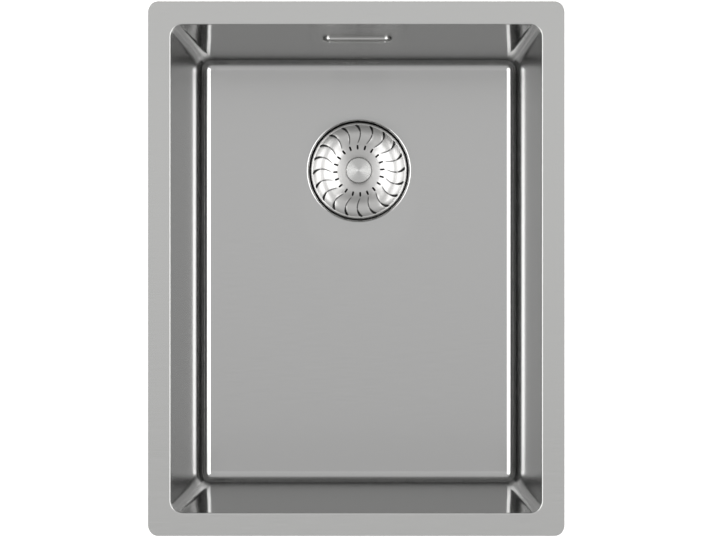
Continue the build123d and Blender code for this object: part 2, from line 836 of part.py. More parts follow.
with BuildPart() as strainer_plate:
    add(plate_layer(0, plate_sheet))
    add(
        turned(
            [
                (flute_outer_radius - plate_sheet, flute_edge - plate_sheet),
                (flute_outer_radius, flute_edge),
                (plate_radius, flute_edge - plate_sheet),
                (plate_radius, flute_edge - plate_sheet - plate_skirt),
                (plate_radius - plate_sheet, flute_edge - plate_sheet - plate_skirt),
                (plate_radius - plate_sheet, flute_edge - 2 * plate_sheet),
            ]
        )
    )
    with BuildSketch(drain_plane(plate_flat - plate_skirt)):
        with PolarLocations((inner_slot_start + inner_slot_end) / 2, flute_count, flute_start_angle):
            SlotOverall(inner_slot_end - inner_slot_start, inner_slot_width)
    extrude(amount=3 * plate_skirt, mode=Mode.SUBTRACT)
    with BuildSketch(drain_plane(plate_flat - plate_skirt / 4)):
        with PolarLocations(0, flute_count):
            add(slit_face)
    extrude(amount=3 * plate_skirt, mode=Mode.SUBTRACT)
    add(creases.part, mode=Mode.SUBTRACT)
save(strainer_plate, "strainer_plate")

with BuildPart() as strainer_knob:
    bore = stem_radius + running_clearance
    spigot_low = plate_flat - plate_sheet - 2 * ring_height
    waist_top = plate_flat + knob_waist_height
    groove = snap_ring_radius + seat_gap
    add(
        turned(
            [
                (bore, spigot_low),
                (knob_spigot_radius, spigot_low),
                (knob_spigot_radius, plate_flat),
                (knob_waist_radius, plate_flat),
                (knob_waist_radius, waist_top - knob_chamfer),
                (knob_radius, waist_top + knob_chamfer),
                (knob_radius, knob_top - knob_chamfer),
                (knob_radius - knob_chamfer, knob_top),
                (0, knob_top - knob_dish),
                (0, stem_top + seat_gap),
                (bore, stem_top + seat_gap),
                (bore, snap_ring_height + ring_height + seat_gap),
                (groove, snap_ring_height + ring_height + seat_gap),
                (groove, snap_ring_height - seat_gap),
                (bore, snap_ring_height - seat_gap),
            ]
        )
    )
save(strainer_knob, "strainer_knob")

with BuildPart() as knob_push_nut:
    nut_top = plate_flat - plate_sheet
    add(ring(spigot_hole_radius, knob_waist_radius, nut_top - ring_height, nut_top))
save(knob_push_nut, "knob_push_nut")

# ---------------------------------------------------------------- worktop clips
stud_x = opening_width / 2 + sheet + (rim_width - sheet) / 2
stud_y = opening_length / 2 + sheet + (rim_width - sheet) / 2
# the rear clip stands to one side, so that its worktop screw passes the overflow's ear
rear_clip_offset = (housing_ear_width + clip_width) / 2 + loose_clearance - clip_screw_reach
# name of the clip, its stud, and the direction it lies in when parked under the rim
clip_places = {
    "left_front_clip": ((-stud_x, -long_side_clip_offset), 90),
    "left_rear_clip": ((-stud_x, long_side_clip_offset), -90),
    "right_front_clip": ((stud_x, -long_side_clip_offset), 90),
    "right_rear_clip": ((stud_x, long_side_clip_offset), -90),
    "front_clip": ((0, -stud_y), 0),
    "rear_clip": ((rear_clip_offset, stud_y), 0),
}
disc_low = -sheet - weld_disc_thickness
clip_top = disc_low - clip_collar_length - seat_gap
clip_low = clip_top - clip_thickness
foot_top = -sheet - clip_foot_gap
washer_top = clip_low - seat_gap
wing_nut_top = washer_top - washer_thickness


def stud_plane(place, height):
    """The horizontal plane at this height whose origin is on a clip's stud, x along the clip."""
    (x, y), parked = place
    return Plane(origin=(x, y, height)).rotated((0, 0, parked))


with BuildPart() as clip_studs:
    for place in clip_places.values():
        for length, radius in (
            (weld_disc_thickness, weld_disc_radius),
            (weld_disc_thickness + clip_collar_length, clip_collar_radius),
            (clip_stud_length, clip_stud_radius),
        ):
            with BuildSketch(stud_plane(place, -sheet - length)):
                Circle(radius)
            extrude(amount=length)
save(clip_studs, "clip_studs")

with BuildPart() as clip_washers:
    for place in clip_places.values():
        with BuildSketch(stud_plane(place, washer_top - washer_thickness)):
            Circle(clip_washer_radius)
            Circle(clip_stud_radius + stud_clearance, mode=Mode.SUBTRACT)
        extrude(amount=washer_thickness)
save(clip_washers, "clip_washers")

with BuildPart() as clip_wing_nuts:
    for place in clip_places.values():
        wing_low = wing_nut_top - wing_height
        with BuildSketch(stud_plane(place, wing_low)):
            Rectangle(wing_span, wing_thickness)
            Circle(wing_hub_radius, mode=Mode.SUBTRACT)
        extrude(amount=wing_height - wing_shoulder)
        with BuildSketch(stud_plane(place, wing_nut_top - wing_hub_height)):
            Circle(wing_hub_radius)
            Circle(clip_stud_radius + thread_clearance, mode=Mode.SUBTRACT)
        extrude(amount=wing_hub_height)
save(clip_wing_nuts, "clip_wing_nuts")

for clip_name, place in clip_places.items():
    joggle_end = clip_joggle_start + clip_joggle_length
    across = stud_plane(place, 0).y_dir
    side_view = Plane(origin=stud_plane(place, 0).origin, x_dir=stud_plane(place, 0).x_dir, z_dir=-across)
    with BuildPart() as clip:
        with BuildSketch(side_view):
            with BuildLine():
                Polyline(
                    (-clip_width / 2, clip_top),
                    (clip_joggle_start, clip_top),
                    (joggle_end, foot_top),
                    (clip_length, foot_top),
                    (clip_length, foot_top - clip_thickness),
                    (joggle_end, foot_top - clip_thickness),
                    (clip_joggle_start, clip_low),
                    (-clip_width / 2, clip_low),
                    close=True,
                )
            make_face()
        extrude(amount=clip_width / 2, both=True)
        with BuildSketch(stud_plane(place, clip_low - clip_thickness)):
            with Locations(((clip_length - clip_width / 2) / 2, 0)):
                SlotOverall(clip_length + clip_width / 2, clip_width)
        extrude(amount=4 * clip_thickness, mode=Mode.INTERSECT)
        with BuildSketch(stud_plane(place, clip_low - clip_thickness)):
            Circle(clip_stud_radius + running_clearance)
            with Locations((clip_screw_reach, 0)):
                Circle(clip_screw_radius)
        extrude(amount=4 * clip_thickness, mode=Mode.SUBTRACT)
    save(clip, clip_name)
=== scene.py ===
"""An undermount kitchen sink in brushed steel, dressed piece by piece round its fixed frame."""

from functools import partial
from math import atan, cos, pi, radians, sin, sqrt, tan

import bmesh
import bpy
from mathutils import Matrix, Vector


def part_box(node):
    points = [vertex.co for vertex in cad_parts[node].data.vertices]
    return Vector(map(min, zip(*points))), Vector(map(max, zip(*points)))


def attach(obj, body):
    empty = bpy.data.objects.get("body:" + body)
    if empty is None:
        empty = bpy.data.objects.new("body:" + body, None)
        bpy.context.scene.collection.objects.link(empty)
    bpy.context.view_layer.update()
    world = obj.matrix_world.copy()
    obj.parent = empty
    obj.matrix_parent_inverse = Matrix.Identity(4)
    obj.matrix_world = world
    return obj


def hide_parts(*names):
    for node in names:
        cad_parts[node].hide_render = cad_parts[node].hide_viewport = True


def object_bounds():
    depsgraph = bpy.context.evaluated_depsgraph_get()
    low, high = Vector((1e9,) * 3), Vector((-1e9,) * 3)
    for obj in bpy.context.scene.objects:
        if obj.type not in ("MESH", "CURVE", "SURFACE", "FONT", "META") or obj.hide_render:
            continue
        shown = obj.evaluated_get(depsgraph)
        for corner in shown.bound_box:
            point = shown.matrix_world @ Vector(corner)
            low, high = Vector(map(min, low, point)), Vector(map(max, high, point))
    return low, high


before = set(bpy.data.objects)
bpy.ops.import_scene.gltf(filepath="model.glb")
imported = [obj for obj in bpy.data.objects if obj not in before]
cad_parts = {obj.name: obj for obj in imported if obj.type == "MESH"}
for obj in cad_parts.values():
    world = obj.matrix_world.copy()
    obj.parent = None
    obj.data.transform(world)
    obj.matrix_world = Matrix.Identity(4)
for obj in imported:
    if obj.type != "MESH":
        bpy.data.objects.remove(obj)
cad_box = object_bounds()
mm = 0.001

# ------------------------------------------------------------------ camera
# A copy camera hangs straight over the bowl, a little right of its middle, and looks
# down on the rim; the lens is long, so that the walls show as narrow strips.
PHOTO_WIDTH = 716
PIXELS_PER_MM = 1.221  # at the rim
SHIFT_RIGHT, SHIFT_UP = -29.4, 30.9  # pixels from the lens's axis to the picture's middle
CAMERA_X, CAMERA_Y, CAMERA_HEIGHT = 25.5 * mm, -26.4 * mm, 2.1


def in_scene(name, data):
    """A new object of this data, in the scene and at its origin."""
    made = bpy.data.objects.new(name, data)
    bpy.context.scene.collection.objects.link(made)
    return made


camera_data = bpy.data.cameras.new("copy_camera")
camera_data.sensor_width = 36.0
camera_data.lens = camera_data.sensor_width * PIXELS_PER_MM / mm * CAMERA_HEIGHT / PHOTO_WIDTH
camera_data.shift_x = SHIFT_RIGHT / PHOTO_WIDTH
camera_data.shift_y = SHIFT_UP / PHOTO_WIDTH
camera = in_scene("copy_camera", camera_data)
camera.location = (CAMERA_X, CAMERA_Y, CAMERA_HEIGHT)
bpy.context.scene.camera = camera
bpy.context.scene.view_settings.view_transform = "Standard"

# ------------------------------------------------------------------ studio
# The sink lies on a white table under a wide soft ceiling. Two tall bright walls of light
# stand to the left and right; in front and behind, the room is dim.
BANK_LIGHT = 2.9
HORIZON_LIGHT = 0.6
TABLE_REACH, TABLE_GAP = 12.0, 0.5 * mm
TABLE_WHITE, TABLE_GLOW = 0.66, 0.5


def fill_in(tree, node, inputs):
    """Set these inputs of a node, each to a value or to the socket that feeds it."""
    for key, value in dict(inputs).items():
        if isinstance(value, bpy.types.NodeSocket):
            tree.links.new(value, node.inputs[key])
        else:
            node.inputs[key].default_value = value


def add_node(tree, kind, inputs=(), **settings):
    """The outputs of a new node of this kind, with these settings and inputs."""
    node = tree.nodes.new(kind)
    for name, value in settings.items():
        setattr(node, name, value)
    fill_in(tree, node, inputs)
    return node.outputs


def number_node(tree, operation, *values):
    """The result of this operation on numbers or on the sockets that feed them."""
    return add_node(tree, "ShaderNodeMath", enumerate(values), operation=operation)[0]


def ramp_node(tree, value, stops):
    """A Color Ramp of greys: the stops are (position, grey) pairs."""
    node = tree.nodes.new("ShaderNodeValToRGB")
    node.color_ramp.interpolation = "EASE"
    elements = node.color_ramp.elements
    while len(elements) < len(stops):
        elements.new(0.5)
    for element, (position, grey) in zip(elements, stops):
        element.position = position
        element.color = (grey, grey, grey, 1)
    tree.links.new(value, node.inputs[0])
    return node.outputs[0]


def new_finish(name, inputs):
    """A material with these inputs on its Principled shader, and its tree and shader."""
    finish = bpy.data.materials.new(name)
    finish.use_nodes = True
    shader = finish.node_tree.nodes["Principled BSDF"]
    fill_in(finish.node_tree, shader, inputs)
    return finish, finish.node_tree, shader


world = bpy.data.worlds.new("studio")
bpy.context.scene.world = world
world.use_nodes = True
room = world.node_tree
calc = partial(number_node, room)
way = add_node(room, "ShaderNodeTexCoord")["Generated"]
x, y, z = add_node(room, "ShaderNodeSeparateXYZ", {0: way})
# degrees from overhead to either side, and from the front horizon over the top to the rear one
quarter_turns_x = calc("DIVIDE", calc("ARCTAN2", calc("ABSOLUTE", x), z), pi / 2)
half_turns_y = calc("ADD", calc("DIVIDE", calc("ARCTAN2", y, z), pi), 0.5)
bank_stops = [(0, 0), (18, 0), (24, 1), (50, 1), (55, 0)]
banks = ramp_node(room, quarter_turns_x, [(angle / 90, grey) for angle, grey in bank_stops])
banks = calc("MULTIPLY", banks, ramp_node(room, calc("ABSOLUTE", y), [(0.0, 1), (0.35, 1), (0.55, 0)]))
ceiling_stops = [(-90, 0.03), (-64, 0.08), (-54, 0.6), (-28, 0.66), (-14, 0.8), (-6, 0.48), (1, 0.86)]
ceiling_stops += [(6, 0.84), (13, 0.7), (52, 0.7), (62, 0.12), (78, 0.06), (90, 0.05)]
ceiling = ramp_node(room, half_turns_y, [(angle / 180 + 0.5, grey) for angle, grey in ceiling_stops])
side_stops = [(0, 1), (40, 1), (58, 0.12), (90, 0.12)]
ceiling_sides = ramp_node(room, quarter_turns_x, [(angle / 90, grey) for angle, grey in side_stops])
horizon = ramp_node(room, z, [(0.0, 1), (0.33, 1), (0.44, 0)])
light = calc("ADD", calc("MULTIPLY", ceiling, ceiling_sides), calc("MULTIPLY", banks, BANK_LIGHT))
light = calc("MAXIMUM", light, calc("MULTIPLY", horizon, HORIZON_LIGHT))
fill_in(room, room.nodes["Background"], {"Strength": light, "Color": (1, 1, 1, 1)})

table_mesh = bpy.data.meshes.new("table")
table_corners = [(-1, -1), (1, -1), (1, 1), (-1, 1)]
table_height = cad_box[0].z - TABLE_GAP
table_points = [(x * TABLE_REACH, y * TABLE_REACH, table_height) for x, y in table_corners]
table_mesh.from_pydata(table_points, [], [(0, 1, 2, 3)])
table_look = {"Base Color": (TABLE_WHITE, TABLE_WHITE, TABLE_WHITE, 1), "Roughness": 0.9}
table_look.update({"Emission Color": (1, 1, 1, 1), "Emission Strength": TABLE_GLOW})
table_mesh.materials.append(new_finish("white_table", table_look)[0])
in_scene("table", table_mesh)

# ------------------------------------------------------------------ bowl
# The bowl is one sheet of brushed stainless steel, pressed and welded at its corners:
# a flat rim, leaning walls, a bend to the floor, and a neck rolled down round the drain.
SHEET = 1.2 * mm
HALF_WIDTH, HALF_LENGTH = 152 * mm, 200 * mm
RIM = 19 * mm
RIM_CORNER = 9 * mm
WALL_CORNER = 10 * mm
EDGE_RADIUS = 0.9 * mm
DEPTH = 190 * mm
BEND_RADIUS = 10 * mm
WALL_SLOPE = 12.3 / 190
DRAIN_RADIUS = 44.5 * mm
NECK_BEND = 2.2 * mm
NECK_LENGTH = 7 * mm
SHEET_BEVEL, UNDER_RIM = 0.15 * mm, 1.2 * mm  # the sheet's edges, and the bend outside under the rim
CORNER_STEPS, SHORT_STEPS, LONG_STEPS = 12, 24, 32
EDGE_STEPS, WALL_STEPS, BEND_STEPS, FLOOR_STEPS, NECK_STEPS, OUTER_STEPS = 6, 16, 20, 8, 6, 4
cup_low, cup_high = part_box("waste_cup")
DRAIN = Vector(((cup_low.x + cup_high.x) / 2, (cup_low.y + cup_high.y) / 2, 0))

lean = atan(WALL_SLOPE)
bend_turn = pi / 2 - lean
bend_height = -DEPTH + BEND_RADIUS
bend_inward = BEND_RADIUS / cos(lean) - WALL_SLOPE * bend_height


def ring_points(inward, height, turn, corner, grow=0.0):
    """One closed ring of the pressed sheet, from +X round by +Y.

    inward is how far the straight sides stand in from the opening's edge, turn is the angle
    of the surface from level, and corner the radius of the ball that rolls in the corners.
    grow pushes every point out along its own direction.
    """
    middle_x = HALF_WIDTH - inward - corner * sin(turn)
    middle_y = HALF_LENGTH - inward - corner * sin(turn)
    along_x = Vector((sin(turn), 0, -cos(turn)))
    along_y = Vector((0, sin(turn), -cos(turn)))
    long_shares = [step / (LONG_STEPS // 2) for step in range(LONG_STEPS // 2)]
    short_shares = [step / (SHORT_STEPS // 2) for step in range(1, SHORT_STEPS // 2 + 1)]
    quarter = [(middle_x, middle_y * share, along_x) for share in long_shares]
    for step in range(CORNER_STEPS + 1):
        way = along_x.slerp(along_y, step / CORNER_STEPS) if turn > 1e-6 else along_x
        quarter.append((middle_x, middle_y, way))
    quarter += [(middle_x - middle_x * share, middle_y, along_y) for share in short_shares]
    middle_z = height + corner * cos(turn)
    first = [Vector((x, y, middle_z)) + way * (corner + grow) for x, y, way in quarter]
    half = first + [Vector((-p.x, p.y, p.z)) for p in reversed(first[:-1])]
    return half + [Vector((p.x, -p.y, p.z)) for p in reversed(half[1:-1])]


def circle_ring(radius, height):
    """A ring round the drain with as many points as a ring of the sheet, in step with it."""
    base = ring_points(bend_inward, -DEPTH, 0.0, WALL_CORNER)
    count = 2 * (SHORT_STEPS + LONG_STEPS)
    points, index, last = [], 0, None
    for p in base:
        if last is not None and (p - last).length > 1e-7:
            index += 1
        turn = 2 * pi * index / count
        points.append(DRAIN + Vector((radius * cos(turn), radius * sin(turn), height)))
        last = p
    return points


def sheet_rings():
    """Every ring of the sheet's skin, from the rim's outer edge over the inside and back outside."""
    rings = []

    def level(inward, height, corner):
        rings.append(ring_points(inward, height, pi / 2, corner))

    def on_wall(height, grow=0.0):
        rings.append(ring_points(-WALL_SLOPE * height, height, bend_turn, WALL_CORNER, grow))

    def in_bend(share, grow=0.0):
        turn = bend_turn * share
        inward, height = bend_inward - BEND_RADIUS * sin(turn), bend_height - BEND_RADIUS * cos(turn)
        rings.append(ring_points(inward, height, turn, WALL_CORNER, grow))

    def between(near, far, steps):
        for step in range(1, steps):
            rings.append([a.lerp(b, step / steps) for a, b in zip(near, far)])

    def neck(share, radius, top, bend):
        turn = pi / 2 * share
        rings.append(circle_ring(radius + bend * (1 - sin(turn)), top - bend * (1 - cos(turn))))

    level(-RIM, -SHEET + SHEET_BEVEL, RIM_CORNER)
    level(-RIM, -SHEET_BEVEL, RIM_CORNER)
    level(-RIM + 0.3 * SHEET_BEVEL, -0.3 * SHEET_BEVEL, RIM_CORNER - 0.3 * SHEET_BEVEL)
    level(-RIM + SHEET_BEVEL, 0, RIM_CORNER - SHEET_BEVEL)
    level(-RIM + 4 * SHEET_BEVEL, 0, RIM_CORNER - 4 * SHEET_BEVEL)
    for share in (0.3, 0.6, 0.9):
        level(-RIM * (1 - share), 0, RIM_CORNER + share * (WALL_CORNER - RIM_CORNER))
    level(-2 * EDGE_RADIUS, 0, WALL_CORNER + 2 * EDGE_RADIUS)
    for step in range(EDGE_STEPS + 1):
        turn = pi / 2 * step / EDGE_STEPS
        out = EDGE_RADIUS * (1 - sin(turn))
        level(-out, -EDGE_RADIUS * (1 - cos(turn)), WALL_CORNER + out)
    wall_top = -2 * EDGE_RADIUS
    wall_low = bend_height - BEND_RADIUS * sin(lean)
    for step in range(WALL_STEPS + 1):
        on_wall(wall_top + (wall_low - wall_top) * step / WALL_STEPS)
    for step in range(BEND_STEPS - 1, -1, -1):
        in_bend(step / BEND_STEPS)
    between(rings[-1], circle_ring(DRAIN_RADIUS + NECK_BEND, -DEPTH), FLOOR_STEPS)
    for step in range(NECK_STEPS + 1):
        neck(step / NECK_STEPS, DRAIN_RADIUS, -DEPTH, NECK_BEND)
    neck_end = -DEPTH - NECK_LENGTH
    rings.append(circle_ring(DRAIN_RADIUS, neck_end + SHEET_BEVEL))
    rings.append(circle_ring(DRAIN_RADIUS + SHEET_BEVEL, neck_end))
    # and back along the outside
    rings.append(circle_ring(DRAIN_RADIUS + SHEET - SHEET_BEVEL, neck_end))
    rings.append(circle_ring(DRAIN_RADIUS + SHEET, neck_end + SHEET_BEVEL))
    for step in range(NECK_STEPS, -1, -1):
        neck(step / NECK_STEPS, DRAIN_RADIUS + SHEET, -DEPTH - SHEET, NECK_BEND - SHEET)
    between(rings[-1], ring_points(bend_inward, -DEPTH, 0.0, WALL_CORNER, SHEET), OUTER_STEPS)
    for step in range(BEND_STEPS // 2 + 1):
        in_bend(step / (BEND_STEPS // 2), SHEET)
    outer_top = -SHEET - UNDER_RIM
    for step in range(1, OUTER_STEPS + 1):
        on_wall(wall_low + (outer_top - wall_low) * step / OUTER_STEPS, SHEET)
    for step in range(1, OUTER_STEPS + 1):
        turn = pi / 2 * step / OUTER_STEPS
        out = SHEET + UNDER_RIM * (1 - cos(turn))
        level(-out, outer_top + UNDER_RIM * sin(turn), WALL_CORNER + out)
    level(-RIM + SHEET_BEVEL, -SHEET, RIM_CORNER - SHEET_BEVEL)
    return rings


def mesh_of(work, name, weld=0.0):
    """The mesh of a bmesh: points this close are welded, and every face is turned outwards."""
    if weld:
        bmesh.ops.remove_doubles(work, verts=work.verts, dist=weld)
    bmesh.ops.recalc_face_normals(work, faces=work.faces)
    mesh = bpy.data.meshes.new(name)
    work.to_mesh(mesh)
    work.free()
    return mesh


def sheet_mesh(name):
    """The closed skin of the bowl, with a map whose first axis runs along the steel's grain."""
    rings = sheet_rings()
    count = len(rings[0])
    work = bmesh.new()
    grain = work.loops.layers.uv.new("grain")
    vertices = [[work.verts.new(p) for p in ring] for ring in rings]
    run = [0.0]
    for near, far in zip(rings, rings[1:]):
        run.append(run[-1] + (far[0] - near[0]).length)
    side = LONG_STEPS // 2 + CORNER_STEPS // 2
    for row in range(len(rings)):
        below = (row + 1) % len(rings)
        for k in range(count):
            n = (k + 1) % count
            corners = ((row, k), (row, n), (below, n), (below, k))
            face = work.faces.new([vertices[r][c] for r, c in corners])
            face.normal_update()
            upright = abs(face.normal.z) < 0.999
            half_turn = k % (count // 2)
            on_side = half_turn < side or half_turn >= count // 2 - side
            for loop, (r, c) in zip(face.loops, corners):
                p = rings[r][c]
                across = run[r] if upright and on_side else p.x
                along = run[r] if upright and not on_side else p.y
                loop[grain].uv = (across, along)
    return mesh_of(work, name, 0.002 * mm)


def piece(name, mesh, finish, slot, body, *nodes):
    """A finished piece of this mesh: its finish, its body, the CAD nodes it stands for. slot is not used."""
    made = in_scene(name, mesh)
    mesh.materials.clear()
    mesh.materials.append(finish)
    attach(made, body)
    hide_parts(*nodes)


def smoothed(mesh, sharp_angle=35):
    """Shade a mesh smooth, but for edges sharper than this angle in degrees."""
    for polygon in mesh.polygons:
        polygon.use_smooth = True
    mesh.set_sharp_from_angle(angle=radians(sharp_angle))
    return mesh


def applied(carrier):
    """The plain mesh that an object's modifiers make; the object itself is removed."""
    graph = bpy.context.evaluated_depsgraph_get()
    done = bpy.data.meshes.new_from_object(carrier.evaluated_get(graph))
    done.name = carrier.data.name
    carrier.modifiers.clear()
    bpy.data.objects.remove(carrier)
    return done


def modified(mesh, kind, **settings):
    """The mesh after a modifier of this kind with these settings."""
    carrier = in_scene(mesh.name, mesh)
    modifier = carrier.modifiers.new(kind, kind)
    for key, value in settings.items():
        setattr(modifier, key, value)
    return applied(carrier)


def drilled(mesh, solid):
    """The mesh with this solid, or all of these, taken out of it."""
    tool = in_scene("cutter", solid)
    done = modified(mesh, "BOOLEAN", object=tool, operation="DIFFERENCE", solver="EXACT")
    bpy.data.objects.remove(tool)
    return done


def lofted(name, rings, closed=False, capped=False, weld=0.0):
    """A skin through rings of points: closed joins the last ring to the first."""
    work = bmesh.new()
    vertices = [[work.verts.new(p) for p in ring] for ring in rings]
    pairs = list(zip(vertices, vertices[1:])) + ([(vertices[-1], vertices[0])] if closed else [])
    for near, far in pairs:
        for k in range(len(near)):
            n = (k + 1) % len(near)
            work.faces.new((near[k], near[n], far[n], far[k]))
    if capped:
        work.faces.new(vertices[0])
        work.faces.new(vertices[-1])
    return mesh_of(work, name, weld)


OVERFLOW_DROP = 68 * mm
OVERFLOW_PLACE = Matrix.Translation((0, HALF_LENGTH - WALL_SLOPE * OVERFLOW_DROP, -OVERFLOW_DROP)) @ Matrix(
    ((-1, 0, 0, 0), (0, sin(lean), cos(lean), 0), (0, cos(lean), -sin(lean), 0), (0, 0, 0, 1))
)


def stadium(width, height, steps=12):
    """The outline of a slot with round ends, as (across, up) points."""
    radius = height / 2
    half = width / 2 - radius
    right = [(half + radius * sin(pi * k / steps), -radius * cos(pi * k / steps)) for k in range(steps + 1)]
    return right + [(-x, -y) for x, y in right]


def layered(name, layers, place, capped=False):
    """A closed skin through layers of outlines, each a list of points and its depth.

    Without caps, the last layer joins the first. A map lays the outlines' own plane on the mesh.
    """
    rings = [[place @ Vector((p[0], p[1], depth)) for p in outline] for outline, depth in layers]
    mesh = lofted(name, rings, not capped, capped)
    flat = [(p[0], p[1]) for outline, _ in layers for p in outline]
    sheet_map = mesh.uv_layers.new(name="sheet")
    for loop in mesh.loops:
        sheet_map.data[loop.index].uv = flat[loop.vertex_index]
    return mesh


SLOT_WIDTH, SLOT_HEIGHT = 55 * mm, 10 * mm
SLOT_DEPTHS = (-4 * mm, 6 * mm)
slot_outline = stadium(SLOT_WIDTH, SLOT_HEIGHT)
slot_rings = [[OVERFLOW_PLACE @ Vector((x, y, depth)) for x, y in slot_outline] for depth in SLOT_DEPTHS]
bowl_mesh = drilled(smoothed(sheet_mesh("pressed_bowl")), lofted("slot", slot_rings, capped=True))


def brushed_steel(name):
    """Stainless sheet with a fine brushed grain along the first axis of its grain map.

    The rim, within a few millimetres of the top, is painted a little lighter than the bowl: painted light,
    for the walls shade the bowl's inside while the rim lies open.
    """
    bowl_tint, rim_painted_light_tint = (0.56, 0.56, 0.555, 1), (0.63, 0.63, 0.62, 1)
    brushing = {"Metallic": 1.0, "Anisotropic": 1.0, "Anisotropic Rotation": 0.25}
    finish, tree, shader = new_finish(name, {**brushing, "Specular Tint": (0.75, 0.75, 0.75, 1)})
    calc = partial(number_node, tree)
    tangent = add_node(tree, "ShaderNodeTangent", direction_type="UV_MAP", uv_map="grain")[0]
    place = add_node(tree, "ShaderNodeTexCoord")["Object"]
    height = add_node(tree, "ShaderNodeSeparateXYZ", {0: place})["Z"]
    # painted light: the colour turns lighter towards the rim, which is less shaded than the bowl's inside
    painted_rim_light_share = calc("SMOOTH_MIN", calc("MULTIPLY_ADD", height, 500.0, 1.5), 1.0, 0.1)
    tints = {"Factor": calc("MAXIMUM", painted_rim_light_share, 0.0), "A": bowl_tint, "B": rim_painted_light_tint}
    tint = add_node(tree, "ShaderNodeMix", tints, data_type="RGBA")["Result"]
    grain = add_node(tree, "ShaderNodeUVMap", uv_map="grain")[0]
    drawn_out = add_node(tree, "ShaderNodeVectorMath", {0: grain, 1: (40, 2500, 0)}, operation="MULTIPLY")[0]
    streaks = add_node(tree, "ShaderNodeTexNoise", {"Vector": drawn_out, "Scale": 1.0, "Detail": 4.0})["Fac"]
    shade = calc("MULTIPLY_ADD", streaks, 0.12, 0.93)
    streaked = add_node(tree, "ShaderNodeVectorMath", {0: tint, "Scale": shade}, operation="SCALE")[0]
    roughness = calc("MULTIPLY_ADD", streaks, 0.06, 0.12)
    fill_in(tree, shader, {"Tangent": tangent, "Base Color": streaked, "Roughness": roughness})
    return finish


piece("pressed_bowl", bowl_mesh, brushed_steel("brushed_sheet"), "bowl_steel", "sink", "bowl")

# ------------------------------------------------------------------ sound pads
# Four sheets of heavy damping rubber, embossed with a waffle pattern, are glued outside
# the bowl: on the left, right and front walls, and under the floor clear of the drain.
HAIR = 0.02 * mm  # left between faces that would otherwise lie in each other
PAD_THICKNESS = 3 * mm
PAD_CORNER, PAD_BEVEL, PAD_EDGE_GAP = 12 * mm, 0.6 * mm, 0.4 * mm
PAD_TOP, PAD_BOTTOM = -38 * mm, -142 * mm
LONG_PAD, SHORT_PAD = 220 * mm, 190 * mm
FLOOR_PAD_WIDTH, FLOOR_PAD_FRONT = 240 * mm, -176 * mm
DRAIN_CUTOUT, CUTOUT_STEP, CUTOUT_STEPS = 75 * mm, 2 * mm, 48
WAFFLE, WAFFLE_RELIEF = 9 * mm, 0.5 * mm


def softened(points, radius, steps=3, closed=False):
    """The same outline with each corner rounded off by an arc of up to this radius."""
    points = [Vector(p) for p in points]
    if closed:
        corners = [(points[k - 1], points[k], points[(k + 1) % len(points)]) for k in range(len(points))]
        out = []
    else:
        corners = list(zip(points, points[1:], points[2:]))
        out = [points[0]]
    for before, corner, after in corners:
        a, b = (before - corner), (after - corner)
        half_turn = a.angle(b) / 2
        cut = min(radius / tan(half_turn) if half_turn > 0.01 else radius, 0.4 * a.length, 0.4 * b.length)
        a, b = a.normalized() * cut, b.normalized() * cut
        for step in range(steps + 1):
            share = step / steps
            out.append(corner + a * (1 - share) ** 2 + b * share**2)
    return out if closed else out + [points[-1]]


def shrunk(outline, distance):
    """An anticlockwise outline moved inwards by this distance."""
    points = [Vector(p) for p in outline]
    out = []
    for k, p in enumerate(points):
        along = (points[(k + 1) % len(points)] - points[k - 1]).normalized()
        out.append(p + Vector((-along.y, along.x)) * distance)
    return out


def plate(name, outline, low, high, bevel, place):
    """A flat plate of this outline between two depths, with its edges bevelled."""
    small = shrunk(outline, bevel)
    layers = [(small, low), (outline, low + bevel), (outline, high - bevel), (small, high)]
    return smoothed(layered(name, layers, place, capped=True), 50)


def rectangle(width, length):
    x, y = width / 2, length / 2
    return [(-x, -y), (x, -y), (x, y), (-x, y)]


def mottled(name, dark, light, roughness, grain, relief, metallic=0.0):
    """A finish that wavers between two colours and two roughnesses, over grains of this size.

    relief is how deep the finer grains are sunk into the surface.
    """
    finish, tree, shader = new_finish(name, {"Metallic": metallic})
    place = add_node(tree, "ShaderNodeTexCoord")["Object"]
    clouds = add_node(tree, "ShaderNodeTexNoise", {"Vector": place, "Scale": 1 / grain, "Detail": 6.0})["Fac"]
    share = ramp_node(tree, clouds, [(0.35, 0), (0.65, 1)])
    colours = {"Factor": share, "A": (*dark, 1), "B": (*light, 1)}
    colour = add_node(tree, "ShaderNodeMix", colours, data_type="RGBA")["Result"]
    low, high = roughness
    dullness = number_node(tree, "MULTIPLY_ADD", share, high - low, low)
    specks = add_node(tree, "ShaderNodeTexNoise", {"Vector": place, "Scale": 6 / grain, "Detail": 3.0})["Fac"]
    bump = add_node(tree, "ShaderNodeBump", {"Distance": relief, "Height": specks})[0]
    fill_in(tree, shader, {"Base Color": colour, "Roughness": dullness, "Normal": bump})
    return finish


def waffled(finish):
    """Press a waffle of raised lines into this finish, over the sheet's own width and length."""
    tree = finish.node_tree
    calc = partial(number_node, tree)
    sheet_map = add_node(tree, "ShaderNodeUVMap", uv_map="sheet")[0]
    across, along, _ = add_node(tree, "ShaderNodeSeparateXYZ", {0: sheet_map})
    ridges = [calc("DIVIDE", calc("PINGPONG", way, WAFFLE / 2), WAFFLE / 2) for way in (across, along)]
    height = ramp_node(tree, calc("MINIMUM", *ridges), [(0.04, 1), (0.22, 0)])
    press = add_node(tree, "ShaderNodeBump", {"Distance": WAFFLE_RELIEF, "Height": height})[0]
    fine = tree.nodes["Principled BSDF"].inputs["Normal"].links[0].from_node
    fill_in(tree, fine, {"Normal": press})
    return finish


